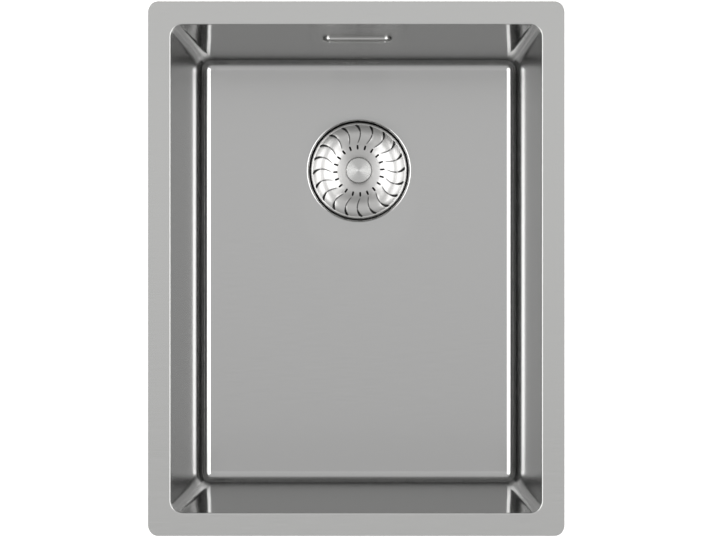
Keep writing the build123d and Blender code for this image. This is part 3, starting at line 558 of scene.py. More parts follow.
def wall_pad(name, length, way, reach, node):
    """A pad on the outside of a wall: way points outwards, reach is the wall's distance at the rim."""
    way = Vector(way)
    middle = (PAD_TOP + PAD_BOTTOM) / 2
    out = way * cos(lean) - Vector((0, 0, sin(lean)))
    up = way * sin(lean) + Vector((0, 0, cos(lean)))
    origin = way * (reach + WALL_SLOPE * middle) + Vector((0, 0, middle)) + out * SHEET
    place = Matrix.Translation(origin) @ Matrix((up.cross(out), up, out)).transposed().to_4x4()
    height = (PAD_TOP - PAD_BOTTOM) / cos(lean) - PAD_EDGE_GAP
    outline = softened(rectangle(length, height), PAD_CORNER, 6, closed=True)
    mesh = plate(name, outline, HAIR, PAD_THICKNESS - HAIR, PAD_BEVEL, place)
    piece(name, mesh, pad_rubber, "sound_pad", "sink", node)


pad_rubber = mottled(
    "damping_rubber", (0.028, 0.028, 0.03), (0.05, 0.05, 0.052), (0.62, 0.8), 4 * mm, 0.05 * mm
)
pad_rubber = waffled(pad_rubber)
wall_pad("left_pad", LONG_PAD, (-1, 0, 0), HALF_WIDTH, "left_sound_pad")
wall_pad("right_pad", LONG_PAD, (1, 0, 0), HALF_WIDTH, "right_sound_pad")
wall_pad("front_pad", SHORT_PAD, (0, -1, 0), HALF_LENGTH, "front_sound_pad")
half_pad, cutout_edge = FLOOR_PAD_WIDTH / 2, DRAIN_CUTOUT + CUTOUT_STEP
floor_corners = [(-cutout_edge, DRAIN.y), (-half_pad, DRAIN.y), (-half_pad, FLOOR_PAD_FRONT)]
floor_corners += [(half_pad, FLOOR_PAD_FRONT), (half_pad, DRAIN.y), (cutout_edge, DRAIN.y)]
floor_outline = softened(floor_corners, PAD_CORNER, 6)
for step in range(CUTOUT_STEPS + 1):
    turn = -pi * step / CUTOUT_STEPS
    floor_outline.append(Vector((DRAIN_CUTOUT * cos(turn), DRAIN.y + DRAIN_CUTOUT * sin(turn))))
under_sheet = -DEPTH - SHEET
floor_pad_depths = (under_sheet - PAD_THICKNESS + HAIR, under_sheet - HAIR)
floor_pad_mesh = plate("floor_pad", floor_outline, *floor_pad_depths, PAD_BEVEL, Matrix())
piece("floor_pad", floor_pad_mesh, pad_rubber, "sound_pad", "sink", "floor_sound_pad")

# ------------------------------------------------------------------ overflow trim
# The frame of the overflow is a short oval tube of polished steel: its lip stands into
# the bowl and its sleeve passes through the wall into the plastic housing behind.
TRIM_WIDTH, TRIM_HEIGHT = 59 * mm, 14 * mm
TRIM_WALL = 1.2 * mm
TRIM_STEP = 0.2 * mm
LIP = 3 * mm
LIP_RADIUS = 2.2 * mm
SLEEVE_END = 4.8 * mm


def polished_steel(name, tint, roughness):
    return new_finish(name, {"Base Color": (*tint, 1), "Metallic": 1.0, "Roughness": roughness})[0]


def trim_ring(grow, depth, width=TRIM_WIDTH, height=TRIM_HEIGHT):
    """One ring of the trim, this much wider than its base outline, at this depth."""
    return stadium(width + 2 * grow, height + 2 * grow), depth


sleeve = (SLOT_WIDTH - 2 * TRIM_STEP, SLOT_HEIGHT - 2 * TRIM_STEP)
trim_layers = [trim_ring(0, 0), trim_ring(0, -LIP + LIP_RADIUS)]
for step in range(1, 7):
    turn = pi / 2 * step / 6
    trim_layers.append(trim_ring(-LIP_RADIUS * (1 - cos(turn)), -LIP + LIP_RADIUS * (1 - sin(turn))))
inner_radius = TRIM_WALL / 2
for step in range(5):
    turn = pi / 2 * step / 4
    grow = -TRIM_WALL + inner_radius * (1 - sin(turn))
    trim_layers.append(trim_ring(grow, -LIP + inner_radius * (1 - cos(turn)), *sleeve))
trim_layers += [trim_ring(-TRIM_WALL, SLEEVE_END, *sleeve), trim_ring(0, SLEEVE_END, *sleeve)]
trim_layers.append(trim_ring(0, 0, *sleeve))
trim_mesh = smoothed(layered("overflow_trim", trim_layers, OVERFLOW_PLACE))
lip_steel = polished_steel("polished_lip", (0.52, 0.52, 0.51), 0.2)
piece("overflow_lip", trim_mesh, lip_steel, "trim_steel", "sink", "overflow_trim")

# ------------------------------------------------------------------ overflow gasket
# A ring of closed-cell foam seals the overflow's plastic housing against the wall.
GASKET_THICKNESS, GASKET_BEVEL = 2 * mm, 0.3 * mm
HOUSING_WIDTH, HOUSING_HEIGHT, HOUSING_CORNER = 72 * mm, 26 * mm, 5 * mm
foam = mottled(
    "closed_cell_foam", (0.02, 0.02, 0.021), (0.045, 0.045, 0.046), (0.8, 0.95), 1.2 * mm, 0.12 * mm
)
foam_outer = softened(rectangle(HOUSING_WIDTH, HOUSING_HEIGHT), HOUSING_CORNER, 11, closed=True)
foam_outer = foam_outer[-12:] + foam_outer[:-12]  # in step with the inner outline
foam_inner = [Vector(p) for p in stadium(TRIM_WIDTH, TRIM_HEIGHT, 23)]
foam_edge = shrunk(foam_outer, GASKET_BEVEL)
foam_near, foam_far = SHEET + HAIR, SHEET + GASKET_THICKNESS - HAIR
foam_layers = [(foam_inner, foam_near), (foam_edge, foam_near), (foam_outer, SHEET + GASKET_THICKNESS / 2)]
foam_layers += [(foam_edge, foam_far), (foam_inner, foam_far)]
foam_mesh = smoothed(layered("foam_ring", foam_layers, OVERFLOW_PLACE), 50)
piece("foam_ring", foam_mesh, foam, "foam_gasket", "sink", "overflow_gasket")

# ------------------------------------------------------------------ overflow housing
# The housing is a box moulded in black plastic, with an ear at each end for its stud, ribs
# across its back and a spigot under it that the hose is pushed on to.
HOUSING_DEPTH, HOUSING_WALL = 16.4 * mm, 2.2 * mm
EAR_WIDTH, EAR_THICKNESS, EAR_BEVEL = 100 * mm, 2.6 * mm, 0.4 * mm
STUD_SPACING, STUD_RADIUS = 86 * mm, 2 * mm
HOUSING_RIBS, RIB_SPACING, RIB_THICKNESS = 7, 9 * mm, 1.6 * mm
RIB_HEIGHT, RIB_ROOT, RIB_BEVEL = 0.9 * mm, 1.2 * mm, 0.25 * mm
HOSE_Y = HALF_LENGTH + 11.3 * mm - WALL_SLOPE * OVERFLOW_DROP
HOUSING_LOW = -OVERFLOW_DROP - HOUSING_HEIGHT / 2
HOSE_TOP = HOUSING_LOW - 1.6 * mm
CUFF_LENGTH, CUFF_RADIUS = 18 * mm, 8 * mm
SPIGOT_RADIUS, SPIGOT_BORE = 6.2 * mm, 4.6 * mm
SPIGOT_GAP, SPIGOT_SHORT, SPIGOT_LEAD = 0.2 * mm, 0.8 * mm, 0.3 * mm


def turned(name, profile, steps=96, soft=0.25 * mm, place=None):
    """A closed solid turned on a lathe, its outline given as (radius, height) points.

    It stands on the drain's axis unless place says otherwise.
    """
    place = place or Matrix.Translation(DRAIN)
    outline = softened(profile, soft) if soft else [Vector(p) for p in profile]
    turns = [2 * pi * k / steps for k in range(steps)]
    rings = [[place @ Vector((r * cos(turn), r * sin(turn), h)) for turn in turns] for r, h in outline]
    on_axis = outline[0].x <= 1e-7 or outline[-1].x <= 1e-7
    return smoothed(lofted(name, rings, not on_axis, weld=0.0005 * mm))


def millimetres(*points):
    return [(radius * mm, height * mm) for radius, height in points]


def joined(name, *meshes):
    """One mesh of several closed ones."""
    work = bmesh.new()
    for mesh in meshes:
        work.from_mesh(mesh)
    return smoothed(mesh_of(work, name))


def node_tree(name, output, **inputs):
    """A Geometry Nodes tree with these inputs, each given its kind, and the inputs' sockets."""
    tree = bpy.data.node_groups.new(name, "GeometryNodeTree")
    for key, kind in {**inputs, "finish": "Material"}.items():
        label = key.replace("_", " ").title()
        tree.interface.new_socket(label, in_out="INPUT", socket_type="NodeSocket" + kind)
    tree.interface.new_socket(output, in_out="OUTPUT", socket_type="NodeSocketGeometry")
    return tree, tree.nodes.new("NodeGroupInput").outputs


def ended(tree, given, geometry):
    """The tree with its end: the copies made real, and the finish set on them."""
    real = add_node(tree, "GeometryNodeRealizeInstances", {0: geometry})[0]
    painted = add_node(tree, "GeometryNodeSetMaterial", {"Geometry": real, "Material": given["Finish"]})[0]
    tree.links.new(painted, tree.nodes.new("NodeGroupOutput").inputs[0])
    return tree


def set_out_tree():
    """A node tree that sets a piece at every point of a mesh, turned as the point says."""
    tree, given = node_tree("set_out", "Pieces", places="Geometry", piece="Object")
    pattern = add_node(tree, "GeometryNodeObjectInfo", {"Object": given["Piece"]})["Geometry"]
    turn = add_node(tree, "GeometryNodeInputNamedAttribute", {"Name": "turn"}, data_type="FLOAT_VECTOR")
    copies = {"Points": given["Places"], "Instance": pattern, "Rotation": turn["Attribute"]}
    return ended(tree, given, add_node(tree, "GeometryNodeInstanceOnPoints", copies)[0])


def grown(mesh, tree, **inputs):
    """The plain mesh that a node tree makes of this mesh with these inputs."""
    carrier = in_scene(mesh.name, mesh)
    modifier = carrier.modifiers.new(tree.name, "NODES")
    modifier.node_group = tree
    for item in tree.interface.items_tree:
        key = item.name.lower().replace(" ", "_")
        if item.in_out == "INPUT" and key in inputs:
            modifier[item.identifier] = inputs[key]
    return applied(carrier)


def set_out(mesh, places, finish):
    """Copies of a mesh at these places, each a matrix, as one mesh."""
    points = bpy.data.meshes.new(mesh.name)
    points.from_pydata([place.translation for place in places], [], [])
    turns = points.attributes.new("turn", "FLOAT_VECTOR", "POINT")
    for index, place in enumerate(places):
        turns.data[index].vector = place.to_euler()
    pattern = in_scene("pattern", mesh)
    done = grown(points, SET_OUT, piece=pattern, finish=finish)
    bpy.data.objects.remove(pattern)
    return smoothed(done)


SET_OUT = set_out_tree()
moulded_black = mottled(
    "moulded_black", (0.022, 0.022, 0.023), (0.034, 0.034, 0.035), (0.32, 0.46), 3 * mm, 0.015 * mm
)
housing_face = SHEET + GASKET_THICKNESS
housing_back = housing_face + HOUSING_DEPTH
box_outline = softened(rectangle(HOUSING_WIDTH, HOUSING_HEIGHT), HOUSING_CORNER, 5, closed=True)
box_layers = [(box_outline, housing_face)]
for step in range(5):
    turn = pi / 2 * step / 4
    edge = HOUSING_WALL * (1 - cos(turn))
    box_layers.append((shrunk(box_outline, edge), housing_back - HOUSING_WALL * (1 - sin(turn))))
box_back = layered("box_back", box_layers, OVERFLOW_PLACE, capped=True)
ear_depths = (housing_face, housing_face + EAR_THICKNESS)
ears = plate("ears", stadium(EAR_WIDTH, HOUSING_HEIGHT, 16), *ear_depths, EAR_BEVEL, OVERFLOW_PLACE)
rib_outline = rectangle(RIB_THICKNESS, HOUSING_HEIGHT - 2 * HOUSING_WALL)
rib_depths = (housing_back - RIB_ROOT, housing_back - RIB_ROOT + RIB_HEIGHT + 0.3 * mm)
rib_mesh = plate("rib", rib_outline, *rib_depths, RIB_BEVEL, Matrix())
rib_steps = [k - (HOUSING_RIBS - 1) / 2 for k in range(HOUSING_RIBS)]
rib_places = [OVERFLOW_PLACE @ Matrix.Translation((step * RIB_SPACING, 0, 0)) for step in rib_steps]
housing_ribs = set_out(rib_mesh, rib_places, moulded_black)
spigot_end = HOSE_TOP - CUFF_LENGTH + SPIGOT_SHORT
spigot_profile = [
    (SPIGOT_BORE, HOUSING_LOW + HOUSING_WALL),
    (SPIGOT_BORE, spigot_end),
    (SPIGOT_RADIUS - SPIGOT_LEAD, spigot_end),
    (SPIGOT_RADIUS, spigot_end + 4 * SPIGOT_LEAD),
    (SPIGOT_RADIUS, HOSE_TOP + SPIGOT_GAP),
    (CUFF_RADIUS, HOSE_TOP + SPIGOT_GAP),
    (CUFF_RADIUS, HOUSING_LOW + HOUSING_WALL),
]
spigot = turned("spigot", spigot_profile, 40, 0.2 * mm, Matrix.Translation((0, HOSE_Y, 0)))
housing_mesh = joined("overflow_box", box_back, ears, housing_ribs, spigot)
piece("overflow_box", housing_mesh, moulded_black, "waste_plastic", "sink", "overflow_housing")

# ------------------------------------------------------------------ overflow studs and nuts
# Two studs welded to the wall pass through the housing's ears; a hexagon nut on each
# draws the housing against its gasket.
STUD_LENGTH, STUD_PITCH = 10.5 * mm, 0.7 * mm
NUT_WIDTH, NUT_HEIGHT, NUT_SINK = 7 * mm, 3.2 * mm, 0.4 * mm
THREAD_GAP = 0.05 * mm


def thread_tree():
    """A node tree that cuts a screw thread into a rod round an upright axis at the origin."""
    numbers = dict.fromkeys(("pitch", "depth", "low", "high", "least_radius"), "Float")
    tree, given = node_tree("cut_thread", "Screw", rod="Geometry", **numbers)
    calc = partial(number_node, tree)
    place = add_node(tree, "GeometryNodeInputPosition")[0]
    x, y, z = add_node(tree, "ShaderNodeSeparateXYZ", {0: place})
    turn = calc("DIVIDE", calc("ARCTAN2", y, x), 2 * pi)
    phase = calc("FRACT", calc("SUBTRACT", calc("DIVIDE", z, given["Pitch"]), turn))
    groove = calc("ABSOLUTE", calc("MULTIPLY_ADD", phase, 2.0, -1.0))
    above = calc("DIVIDE", calc("SUBTRACT", z, given["Low"]), given["Pitch"])
    below = calc("DIVIDE", calc("SUBTRACT", given["High"], z), given["Pitch"])
    run_out = calc("MAXIMUM", calc("MINIMUM", calc("MINIMUM", above, below), 1.0), 0.0)
    radius = calc("SQRT", calc("ADD", calc("MULTIPLY", x, x), calc("MULTIPLY", y, y)))
    outside = calc("GREATER_THAN", radius, given["Least Radius"])
    depth = calc("MULTIPLY", calc("MULTIPLY", calc("MULTIPLY", groove, given["Depth"]), run_out), outside)
    share = calc("DIVIDE", depth, calc("MAXIMUM", radius, 0.0001))
    inwards = {"X": calc("MULTIPLY", calc("MULTIPLY", x, share), -1.0)}
    inwards["Y"] = calc("MULTIPLY", calc("MULTIPLY", y, share), -1.0)
    offset = add_node(tree, "ShaderNodeCombineXYZ", inwards)[0]
    cut = add_node(tree, "GeometryNodeSetPosition", {"Geometry": given["Rod"], "Offset": offset})[0]
    return ended(tree, given, cut)


CUT_THREAD = thread_tree()


def rows(low, high, spacing):
    """Heights from low to high, this far apart or a little less."""
    count = max(1, round((high - low) / spacing))
    return [low + (high - low) * k / count for k in range(count + 1)]


def stud(name, radius, low, high, pitch, finish, head=()):
    """An upright threaded rod with chamfered ends; head is an outline that its top grows out of."""
    chamfer = 0.6 * pitch
    profile = [(0.0, low), (radius - chamfer, low)]
    profile += [(radius, height) for height in rows(low + chamfer, high - chamfer, pitch / 6)]
    profile += list(head) or [(radius - chamfer, high), (0.0, high)]
    rod = turned(name, profile, 24, 0, Matrix())
    thread = {"pitch": pitch, "depth": 0.55 * pitch, "low": low, "high": high, "least_radius": 0.6 * radius}
    return smoothed(grown(rod, CUT_THREAD, finish=finish, **thread))


def nut(name, across_flats, bore, low, high):
    """A hexagon nut with its corners turned off at both faces and a countersunk hole."""
    corner = across_flats / 2 / cos(pi / 6)
    bevel = 0.5 * (corner - across_flats / 2)
    face = 0.48 * across_flats
    half = [(bore, NUT_SINK), (bore + NUT_SINK, 0), (face, 0), (corner, bevel)]
    limits = [(limit, low + rise) for limit, rise in half]
    limits += [(limit, high - rise) for limit, rise in reversed(half)]
    turns = [2 * pi * k / 48 for k in range(48)]
    layers = []
    for limit, height in limits:
        sizes = [min(across_flats / 2 / cos(turn % (pi / 3) - pi / 6), limit) for turn in turns]
        layers.append(([(size * cos(turn), size * sin(turn)) for size, turn in zip(sizes, turns)], height))
    return smoothed(layered(name, layers, Matrix()), 25)


def fasteners(name, mesh, places, node):
    """Copies of a plain steel fastener at these places, as one piece."""
    piece(name, set_out(mesh, places, plain_steel), plain_steel, "fastener_steel", "sink", node)


zinc = mottled("bright_zinc", (0.47, 0.475, 0.48), (0.55, 0.55, 0.54), (0.28, 0.38), 2.5 * mm, 0.01 * mm, 1.0)
plain_steel = mottled(
    "plain_steel", (0.5, 0.5, 0.49), (0.6, 0.6, 0.59), (0.22, 0.36), 2 * mm, 0.008 * mm, 1.0
)
ear_places = [OVERFLOW_PLACE @ Matrix.Translation((side * STUD_SPACING / 2, 0, 0)) for side in (-1, 1)]
stud_mesh = stud("overflow_stud", STUD_RADIUS, SHEET, SHEET + STUD_LENGTH, STUD_PITCH, plain_steel)
fasteners("overflow_screws", stud_mesh, ear_places, "overflow_studs")
nut_low = housing_face + EAR_THICKNESS
nut_mesh = nut("overflow_nut", NUT_WIDTH, STUD_RADIUS + THREAD_GAP, nut_low + HAIR, nut_low + NUT_HEIGHT)
fasteners("overflow_hexagons", nut_mesh, ear_places, "overflow_nuts")

# ------------------------------------------------------------------ cup gasket
# A flat ring of moulded rubber lies between the bowl's floor and the flange of the cup.
moulded_rubber = mottled(
    "moulded_rubber", (0.02, 0.02, 0.02), (0.035, 0.035, 0.035), (0.5, 0.68), 2.5 * mm, 0.03 * mm
)
cup_gasket_profile = millimetres(
    (47.5, -193.68), (57.0, -193.68), (57.0, -191.22), (47.5, -191.22), (47.5, -192.4)
)
cup_gasket_mesh = turned("cup_seal", cup_gasket_profile, soft=0.6 * mm)
piece("cup_seal", cup_gasket_mesh, moulded_rubber, "gasket_rubber", "sink", "cup_gasket")

# ------------------------------------------------------------------ waste cup
# The cup is deep drawn from thin stainless sheet: a flange to seal against, a straight
# wall, and a floor with six holes round the one for the centre screw.
CUP_HOLES, CUP_HOLE_RADIUS, CUP_HOLE_CIRCLE = 6, 5.5 * mm, 15.5 * mm
CUP_HOLE_LOW, CUP_HOLE_HIGH = -230 * mm, -222 * mm


def round_axis_tree():
    """A node tree that sets a piece at equal turns round an upright axis and joins the copies."""
    inputs = {"piece": "Geometry", "copies": "Int", "axis_place": "Vector", "join_within": "Float"}
    tree, given = node_tree("round_axis", "Ring", **inputs)
    points = add_node(tree, "GeometryNodePoints", {"Count": given["Copies"]})[0]
    index = add_node(tree, "GeometryNodeInputIndex")[0]
    step = number_node(tree, "DIVIDE", 2 * pi, given["Copies"])
    turn = add_node(tree, "ShaderNodeCombineXYZ", {"Z": number_node(tree, "MULTIPLY", index, step)})[0]
    copies = {"Points": points, "Instance": given["Piece"], "Rotation": turn}
    copies = add_node(tree, "GeometryNodeInstanceOnPoints", copies)[0]
    real = add_node(tree, "GeometryNodeRealizeInstances", {0: copies})[0]
    whole = {"Geometry": real, "Distance": given["Join Within"]}
    whole = add_node(tree, "GeometryNodeMergeByDistance", whole)[0]
    moved = {"Geometry": whole, "Translation": given["Axis Place"]}
    return ended(tree, given, add_node(tree, "GeometryNodeTransform", moved)[0])


def round_axis(mesh, copies, finish, axis=DRAIN, join_within=0.0):
    """This many copies of a mesh at equal turns round an upright axis, as one mesh."""
    return grown(mesh, ROUND_AXIS, copies=copies, axis_place=axis, join_within=join_within, finish=finish)


def pin(name, radius, low, high, place, steps=28):
    """A plain round bar between two heights, to cut a hole with."""
    return turned(name, [(0, low), (radius, low), (radius, high), (0, high)], steps, 0, place)


ROUND_AXIS = round_axis_tree()
cup_steel = mottled(
    "drawn_cup", (0.25, 0.25, 0.248), (0.29, 0.29, 0.287), (0.3, 0.38), 5 * mm, 0.01 * mm, 1.0
)
hole_place = Matrix.Translation((CUP_HOLE_CIRCLE, 0, 0))
one_hole = pin("cup_hole", CUP_HOLE_RADIUS, CUP_HOLE_LOW, CUP_HOLE_HIGH, hole_place)
cup_inside = [(4.1, -226.0), (12.0, -226.0), (30.0, -226.0), (40.8, -226.0), (43.3, -225.5), (45.3, -224.2)]
cup_inside += [(46.5, -222.3), (47.0, -220.0), (47.0, -208.0), (47.0, -196.0), (47.05, -194.6)]
cup_inside += [(47.5, -193.9), (48.4, -193.7), (58.0, -193.7)]
cup_outside = [(58.0, -194.48), (48.6, -194.5), (47.9, -195.0), (47.8, -196.4), (47.8, -220.0)]
cup_outside += [(47.2, -222.7), (45.8, -224.8), (43.5, -226.3), (40.8, -226.8), (4.1, -226.8)]
cup_mesh = turned("drawn_cup", millimetres(*cup_inside, *cup_outside), soft=0.2 * mm)
cup_mesh = smoothed(drilled(cup_mesh, round_axis(one_hole, CUP_HOLES, cup_steel)))
piece("drawn_cup", cup_mesh, cup_steel, "cup_steel", "sink", "waste_cup")

# ------------------------------------------------------------------ clamp ring and its studs
# Four studs welded under the floor carry a zinc-plated ring with a raised bead. Washers
# and hexagon nuts pull the ring up, so that it squeezes the cup's flange and its gasket.
RING_STUDS, RING_STUD_CIRCLE, RING_STUD_RADIUS = 4, 64.5 * mm, 2.5 * mm
RING_HOLE, RING_HOLE_LOW, RING_HOLE_HIGH = 2.75 * mm, -200 * mm, -190 * mm
ring_under = [(48.05, -196.48), (52.5, -196.48), (53.4, -196.1), (54.6, -196.1), (55.5, -196.48)]
ring_profile = millimetres(*ring_under, (71.0, -196.48), (71.0, -194.52), (48.05, -194.52))
ring_places = [
    Matrix.Translation(DRAIN) @ Matrix.Rotation(radians(45 + 360 / RING_STUDS * k), 4, "Z")
    @ Matrix.Translation((RING_STUD_CIRCLE, 0, 0)) for k in range(RING_STUDS)
]
stud_hole = pin("stud_hole", RING_HOLE, RING_HOLE_LOW, RING_HOLE_HIGH, Matrix())
ring_mesh = turned("clamp_ring", ring_profile, 128, 0.2 * mm)
ring_mesh = smoothed(drilled(ring_mesh, set_out(stud_hole, ring_places, zinc)))
piece("plated_ring", ring_mesh, zinc, "zinc_plate", "sink", "clamp_ring")
ring_stud = stud("ring_stud", RING_STUD_RADIUS, -206.2 * mm, -191.22 * mm, 0.8 * mm, plain_steel)
fasteners("ring_screws", ring_stud, ring_places, "waste_studs")
washer_profile = millimetres((2.75, -197.48), (5.0, -197.48), (5.0, -196.52), (2.75, -196.52))
washer_mesh = turned("washer", washer_profile, 36, 0.2 * mm, Matrix())
fasteners("ring_washers", washer_mesh, ring_places, "waste_washers")
ring_nut = nut("ring_nut", 8 * mm, RING_STUD_RADIUS + THREAD_GAP, -201.5 * mm, -197.52 * mm)
fasteners("ring_nuts", ring_nut, ring_places, "waste_nuts")

# ------------------------------------------------------------------ waste body
# The body under the cup is moulded in black plastic, with a rubber ring on top: a funnel
# with gussets under its flange, a boss on three ribs inside for the centre screw, an outlet
# whose pipe thread shows only at its two ends, and a side inlet for the overflow's hose.
HOSE_LOW = -245 * mm
BEND = 68 * mm
HOSE_BEND_END = HOSE_Y - BEND
HOSE_END = HOSE_BEND_END - CUFF_LENGTH
INLET_ROOT, INLET_SHOULDER = 24 * mm, 8.5 * mm
GUSSETS, GUSSET_HALF = 12, 0.9 * mm
INNER_RIBS, INNER_RIB_LENGTH, INNER_RIB_WIDTH = 3, 17 * mm, 2.6 * mm
UPRIGHT = Matrix(((1, 0, 0, 0), (0, 0, -1, 0), (0, 1, 0, 0), (0, 0, 0, 1)))
seal_profile = millimetres((29.0, -228.78), (36.0, -228.78), (36.0, -226.82), (29.0, -226.82), (29.0, -227.8))
seal_mesh = turned("body_seal", seal_profile, soft=0.5 * mm)
piece("body_seal", seal_mesh, moulded_rubber, "gasket_rubber", "sink", "body_gasket")
thread_radius, thread_low, thread_high = 23.9, -286.0, -263.4
body_outside = [(28.0, -228.82), (38.0, -228.82), (38.0, -232.8), (30.6, -232.8), (30.6, -236.8)]
body_outside += [(22.2, -254.8), (22.2, -262.2), (thread_radius - 0.8, -262.8)]
body_outside += [(thread_radius, thread_high), (thread_radius, thread_low), (thread_radius - 0.6, -286.8)]
body_inside = [(19.6, -286.8), (19.6, -254.8), (28.0, -236.8)]
funnel = turned("funnel", millimetres(*body_outside, *body_inside), 96, 0.15 * mm, Matrix())
outlet_thread = {"pitch": 2.2 * mm, "depth": 1.1 * mm, "low": thread_low * mm, "high": thread_high * mm}
funnel = grown(funnel, CUT_THREAD, **outlet_thread, least_radius=23 * mm, finish=moulded_black)
funnel.transform(Matrix.Translation(DRAIN))
inlet_way = Matrix.Translation((0, DRAIN.y, HOSE_LOW)) @ Matrix.Rotation(-pi / 2, 4, "X")
to_hose = HOSE_END - DRAIN.y
inlet_end = to_hose + CUFF_LENGTH - SPIGOT_SHORT
inlet_profile = [(SPIGOT_BORE, INLET_ROOT), (INLET_SHOULDER, INLET_ROOT)]
inlet_profile += [(INLET_SHOULDER, to_hose - SPIGOT_GAP), (SPIGOT_RADIUS, to_hose - SPIGOT_GAP)]
inlet_profile += [(SPIGOT_RADIUS, inlet_end - 4 * SPIGOT_LEAD)]
inlet_profile += [(SPIGOT_RADIUS - SPIGOT_LEAD, inlet_end), (SPIGOT_BORE, inlet_end)]
inlet = turned("inlet", inlet_profile, 40, 0.3 * mm, inlet_way)
boss = turned("boss", millimetres((4.05, -250.6), (8.0, -250.6), (8.0, -229.6), (4.05, -229.6)), 40, 0.3 * mm)
inner_rib_place = Matrix.Rotation(pi / 6, 4, "Z") @ Matrix.Translation((15.2 * mm, 0, 0))
inner_rib_outline = rectangle(INNER_RIB_LENGTH, INNER_RIB_WIDTH)
inner_rib = plate("inner_rib", inner_rib_outline, -250.6 * mm, -233.6 * mm, 0.3 * mm, inner_rib_place)
gusset_outline = millimetres((30.0, -232.6), (26.6, -244.0), (27.4, -244.0), (36.4, -233.6), (36.4, -232.6))
gusset_place = Matrix.Rotation(pi / GUSSETS, 4, "Z") @ UPRIGHT
gusset = plate("gusset", gusset_outline, -GUSSET_HALF, GUSSET_HALF, 0.15 * mm, gusset_place)
inner_ribs = round_axis(inner_rib, INNER_RIBS, moulded_black)
gussets = round_axis(gusset, GUSSETS, moulded_black)
body_mesh = joined("waste_funnel", funnel, inlet, boss, inner_ribs, gussets)
piece("waste_funnel", body_mesh, moulded_black, "waste_plastic", "sink", "waste_body")

# ------------------------------------------------------------------ centre screw
# One hollow-headed screw pulls the waste body up against the cup. Its collar is bored
# to guide the plug's stem.
collar_outline = millimetres((9.0, -225.98), (9.0, -224.0), (7.0, -224.0), (7.0, -213.0), (4.05, -213.0))
collar_outline += millimetres((4.05, -224.0), (0, -224.0))
screw_mesh = stud("centre_screw", 4 * mm, -253 * mm, -226.1 * mm, 1.25 * mm, plain_steel, collar_outline)
screw_mesh.transform(Matrix.Translation(DRAIN))
piece("collar_screw", screw_mesh, plain_steel, "fastener_steel", "sink", "centre_screw")

# ------------------------------------------------------------------ overflow hose
# A grey corrugated hose carries the overflow's water down behind the bowl and under it to
# the waste body. Plain cuffs at both ends are pushed on to the spigots.
HOSE_RIBS = 51
ROOT_RADIUS, CREST_RADIUS, HOSE_BORE = 7.4 * mm, 8.5 * mm, 6.3 * mm
HOSE_BEND_STEPS, HOSE_STEPS = 64, 420


def hose_tree():
    """A node tree that runs a corrugated hose along a path, with plain cuffs at both ends."""
    sizes = ("ribs", "cuff_length", "cuff_radius", "root_radius", "crest_radius", "bore")
    numbers = dict.fromkeys(sizes, "Float")
    tree, given = node_tree("corrugated_hose", "Hose", path="Geometry", steps="Int", **numbers)
    calc = partial(number_node, tree)
    curve = add_node(tree, "GeometryNodeMeshToCurve", {0: given["Path"]})[0]
    spaced = add_node(tree, "GeometryNodeResampleCurve", {"Curve": curve, "Count": given["Steps"]})[0]
    along = add_node(tree, "GeometryNodeSplineParameter")["Length"]
    whole = add_node(tree, "GeometryNodeSplineLength")["Length"]
    ribbed = calc("SUBTRACT", whole, calc("MULTIPLY", given["Cuff Length"], 2.0))
    pitch = calc("DIVIDE", ribbed, given["Ribs"])
    rib = calc("DIVIDE", calc("SUBTRACT", along, given["Cuff Length"]), pitch)
    from_crest = calc("ABSOLUTE", calc("MULTIPLY_ADD", calc("FRACT", rib), 2.0, -1.0))
    fall = {"Value": from_crest, "From Min": 0.3, "From Max": 0.8}
    fall.update({"To Min": given["Crest Radius"], "To Max": given["Root Radius"]})
    wave = add_node(tree, "ShaderNodeMapRange", fall, interpolation_type="SMOOTHSTEP")["Result"]
    in_ribs = calc("MULTIPLY", calc("GREATER_THAN", rib, 0.0), calc("LESS_THAN", rib, given["Ribs"]))
    radius = calc("MULTIPLY_ADD", calc("SUBTRACT", wave, given["Cuff Radius"]), in_ribs, given["Cuff Radius"])
    circle = add_node(tree, "GeometryNodeCurvePrimitiveCircle", {"Resolution": 32, "Radius": 1.0})["Curve"]
    sweep = {"Curve": spaced, "Profile Curve": circle}
    outer = add_node(tree, "GeometryNodeCurveToMesh", {**sweep, "Scale": radius})[0]
    inner = add_node(tree, "GeometryNodeCurveToMesh", {**sweep, "Scale": given["Bore"]})[0]
    both = tree.nodes.new("GeometryNodeJoinGeometry")
    tree.links.new(outer, both.inputs[0])
    tree.links.new(add_node(tree, "GeometryNodeFlipFaces", {0: inner})[0], both.inputs[0])
    return ended(tree, given, both.outputs[0])


hose_path = [Vector((0, HOSE_Y, HOSE_TOP)), Vector((0, HOSE_Y, HOSE_LOW + BEND))]
for step in range(1, HOSE_BEND_STEPS + 1):
    turn = pi / 2 * step / HOSE_BEND_STEPS
    hose_path.append(Vector((0, HOSE_BEND_END + BEND * cos(turn), HOSE_LOW + BEND - BEND * sin(turn))))
hose_path.append(Vector((0, HOSE_END, HOSE_LOW)))
path_mesh = bpy.data.meshes.new("hose")
path_mesh.from_pydata(hose_path, [(k, k + 1) for k in range(len(hose_path) - 1)], [])
hose_grey = mottled("hose_grey", (0.34, 0.345, 0.35), (0.42, 0.425, 0.43), (0.42, 0.55), 6 * mm, 0.01 * mm)
hose_sizes = {"steps": HOSE_STEPS, "ribs": float(HOSE_RIBS), "cuff_length": CUFF_LENGTH, "bore": HOSE_BORE}
hose_sizes.update({"cuff_radius": CUFF_RADIUS, "root_radius": ROOT_RADIUS, "crest_radius": CREST_RADIUS})
hose_mesh = grown(path_mesh, hose_tree(), finish=hose_grey, **hose_sizes)
work = bmesh.new()
work.from_mesh(hose_mesh)
open_edges = [edge for edge in work.edges if edge.is_boundary]
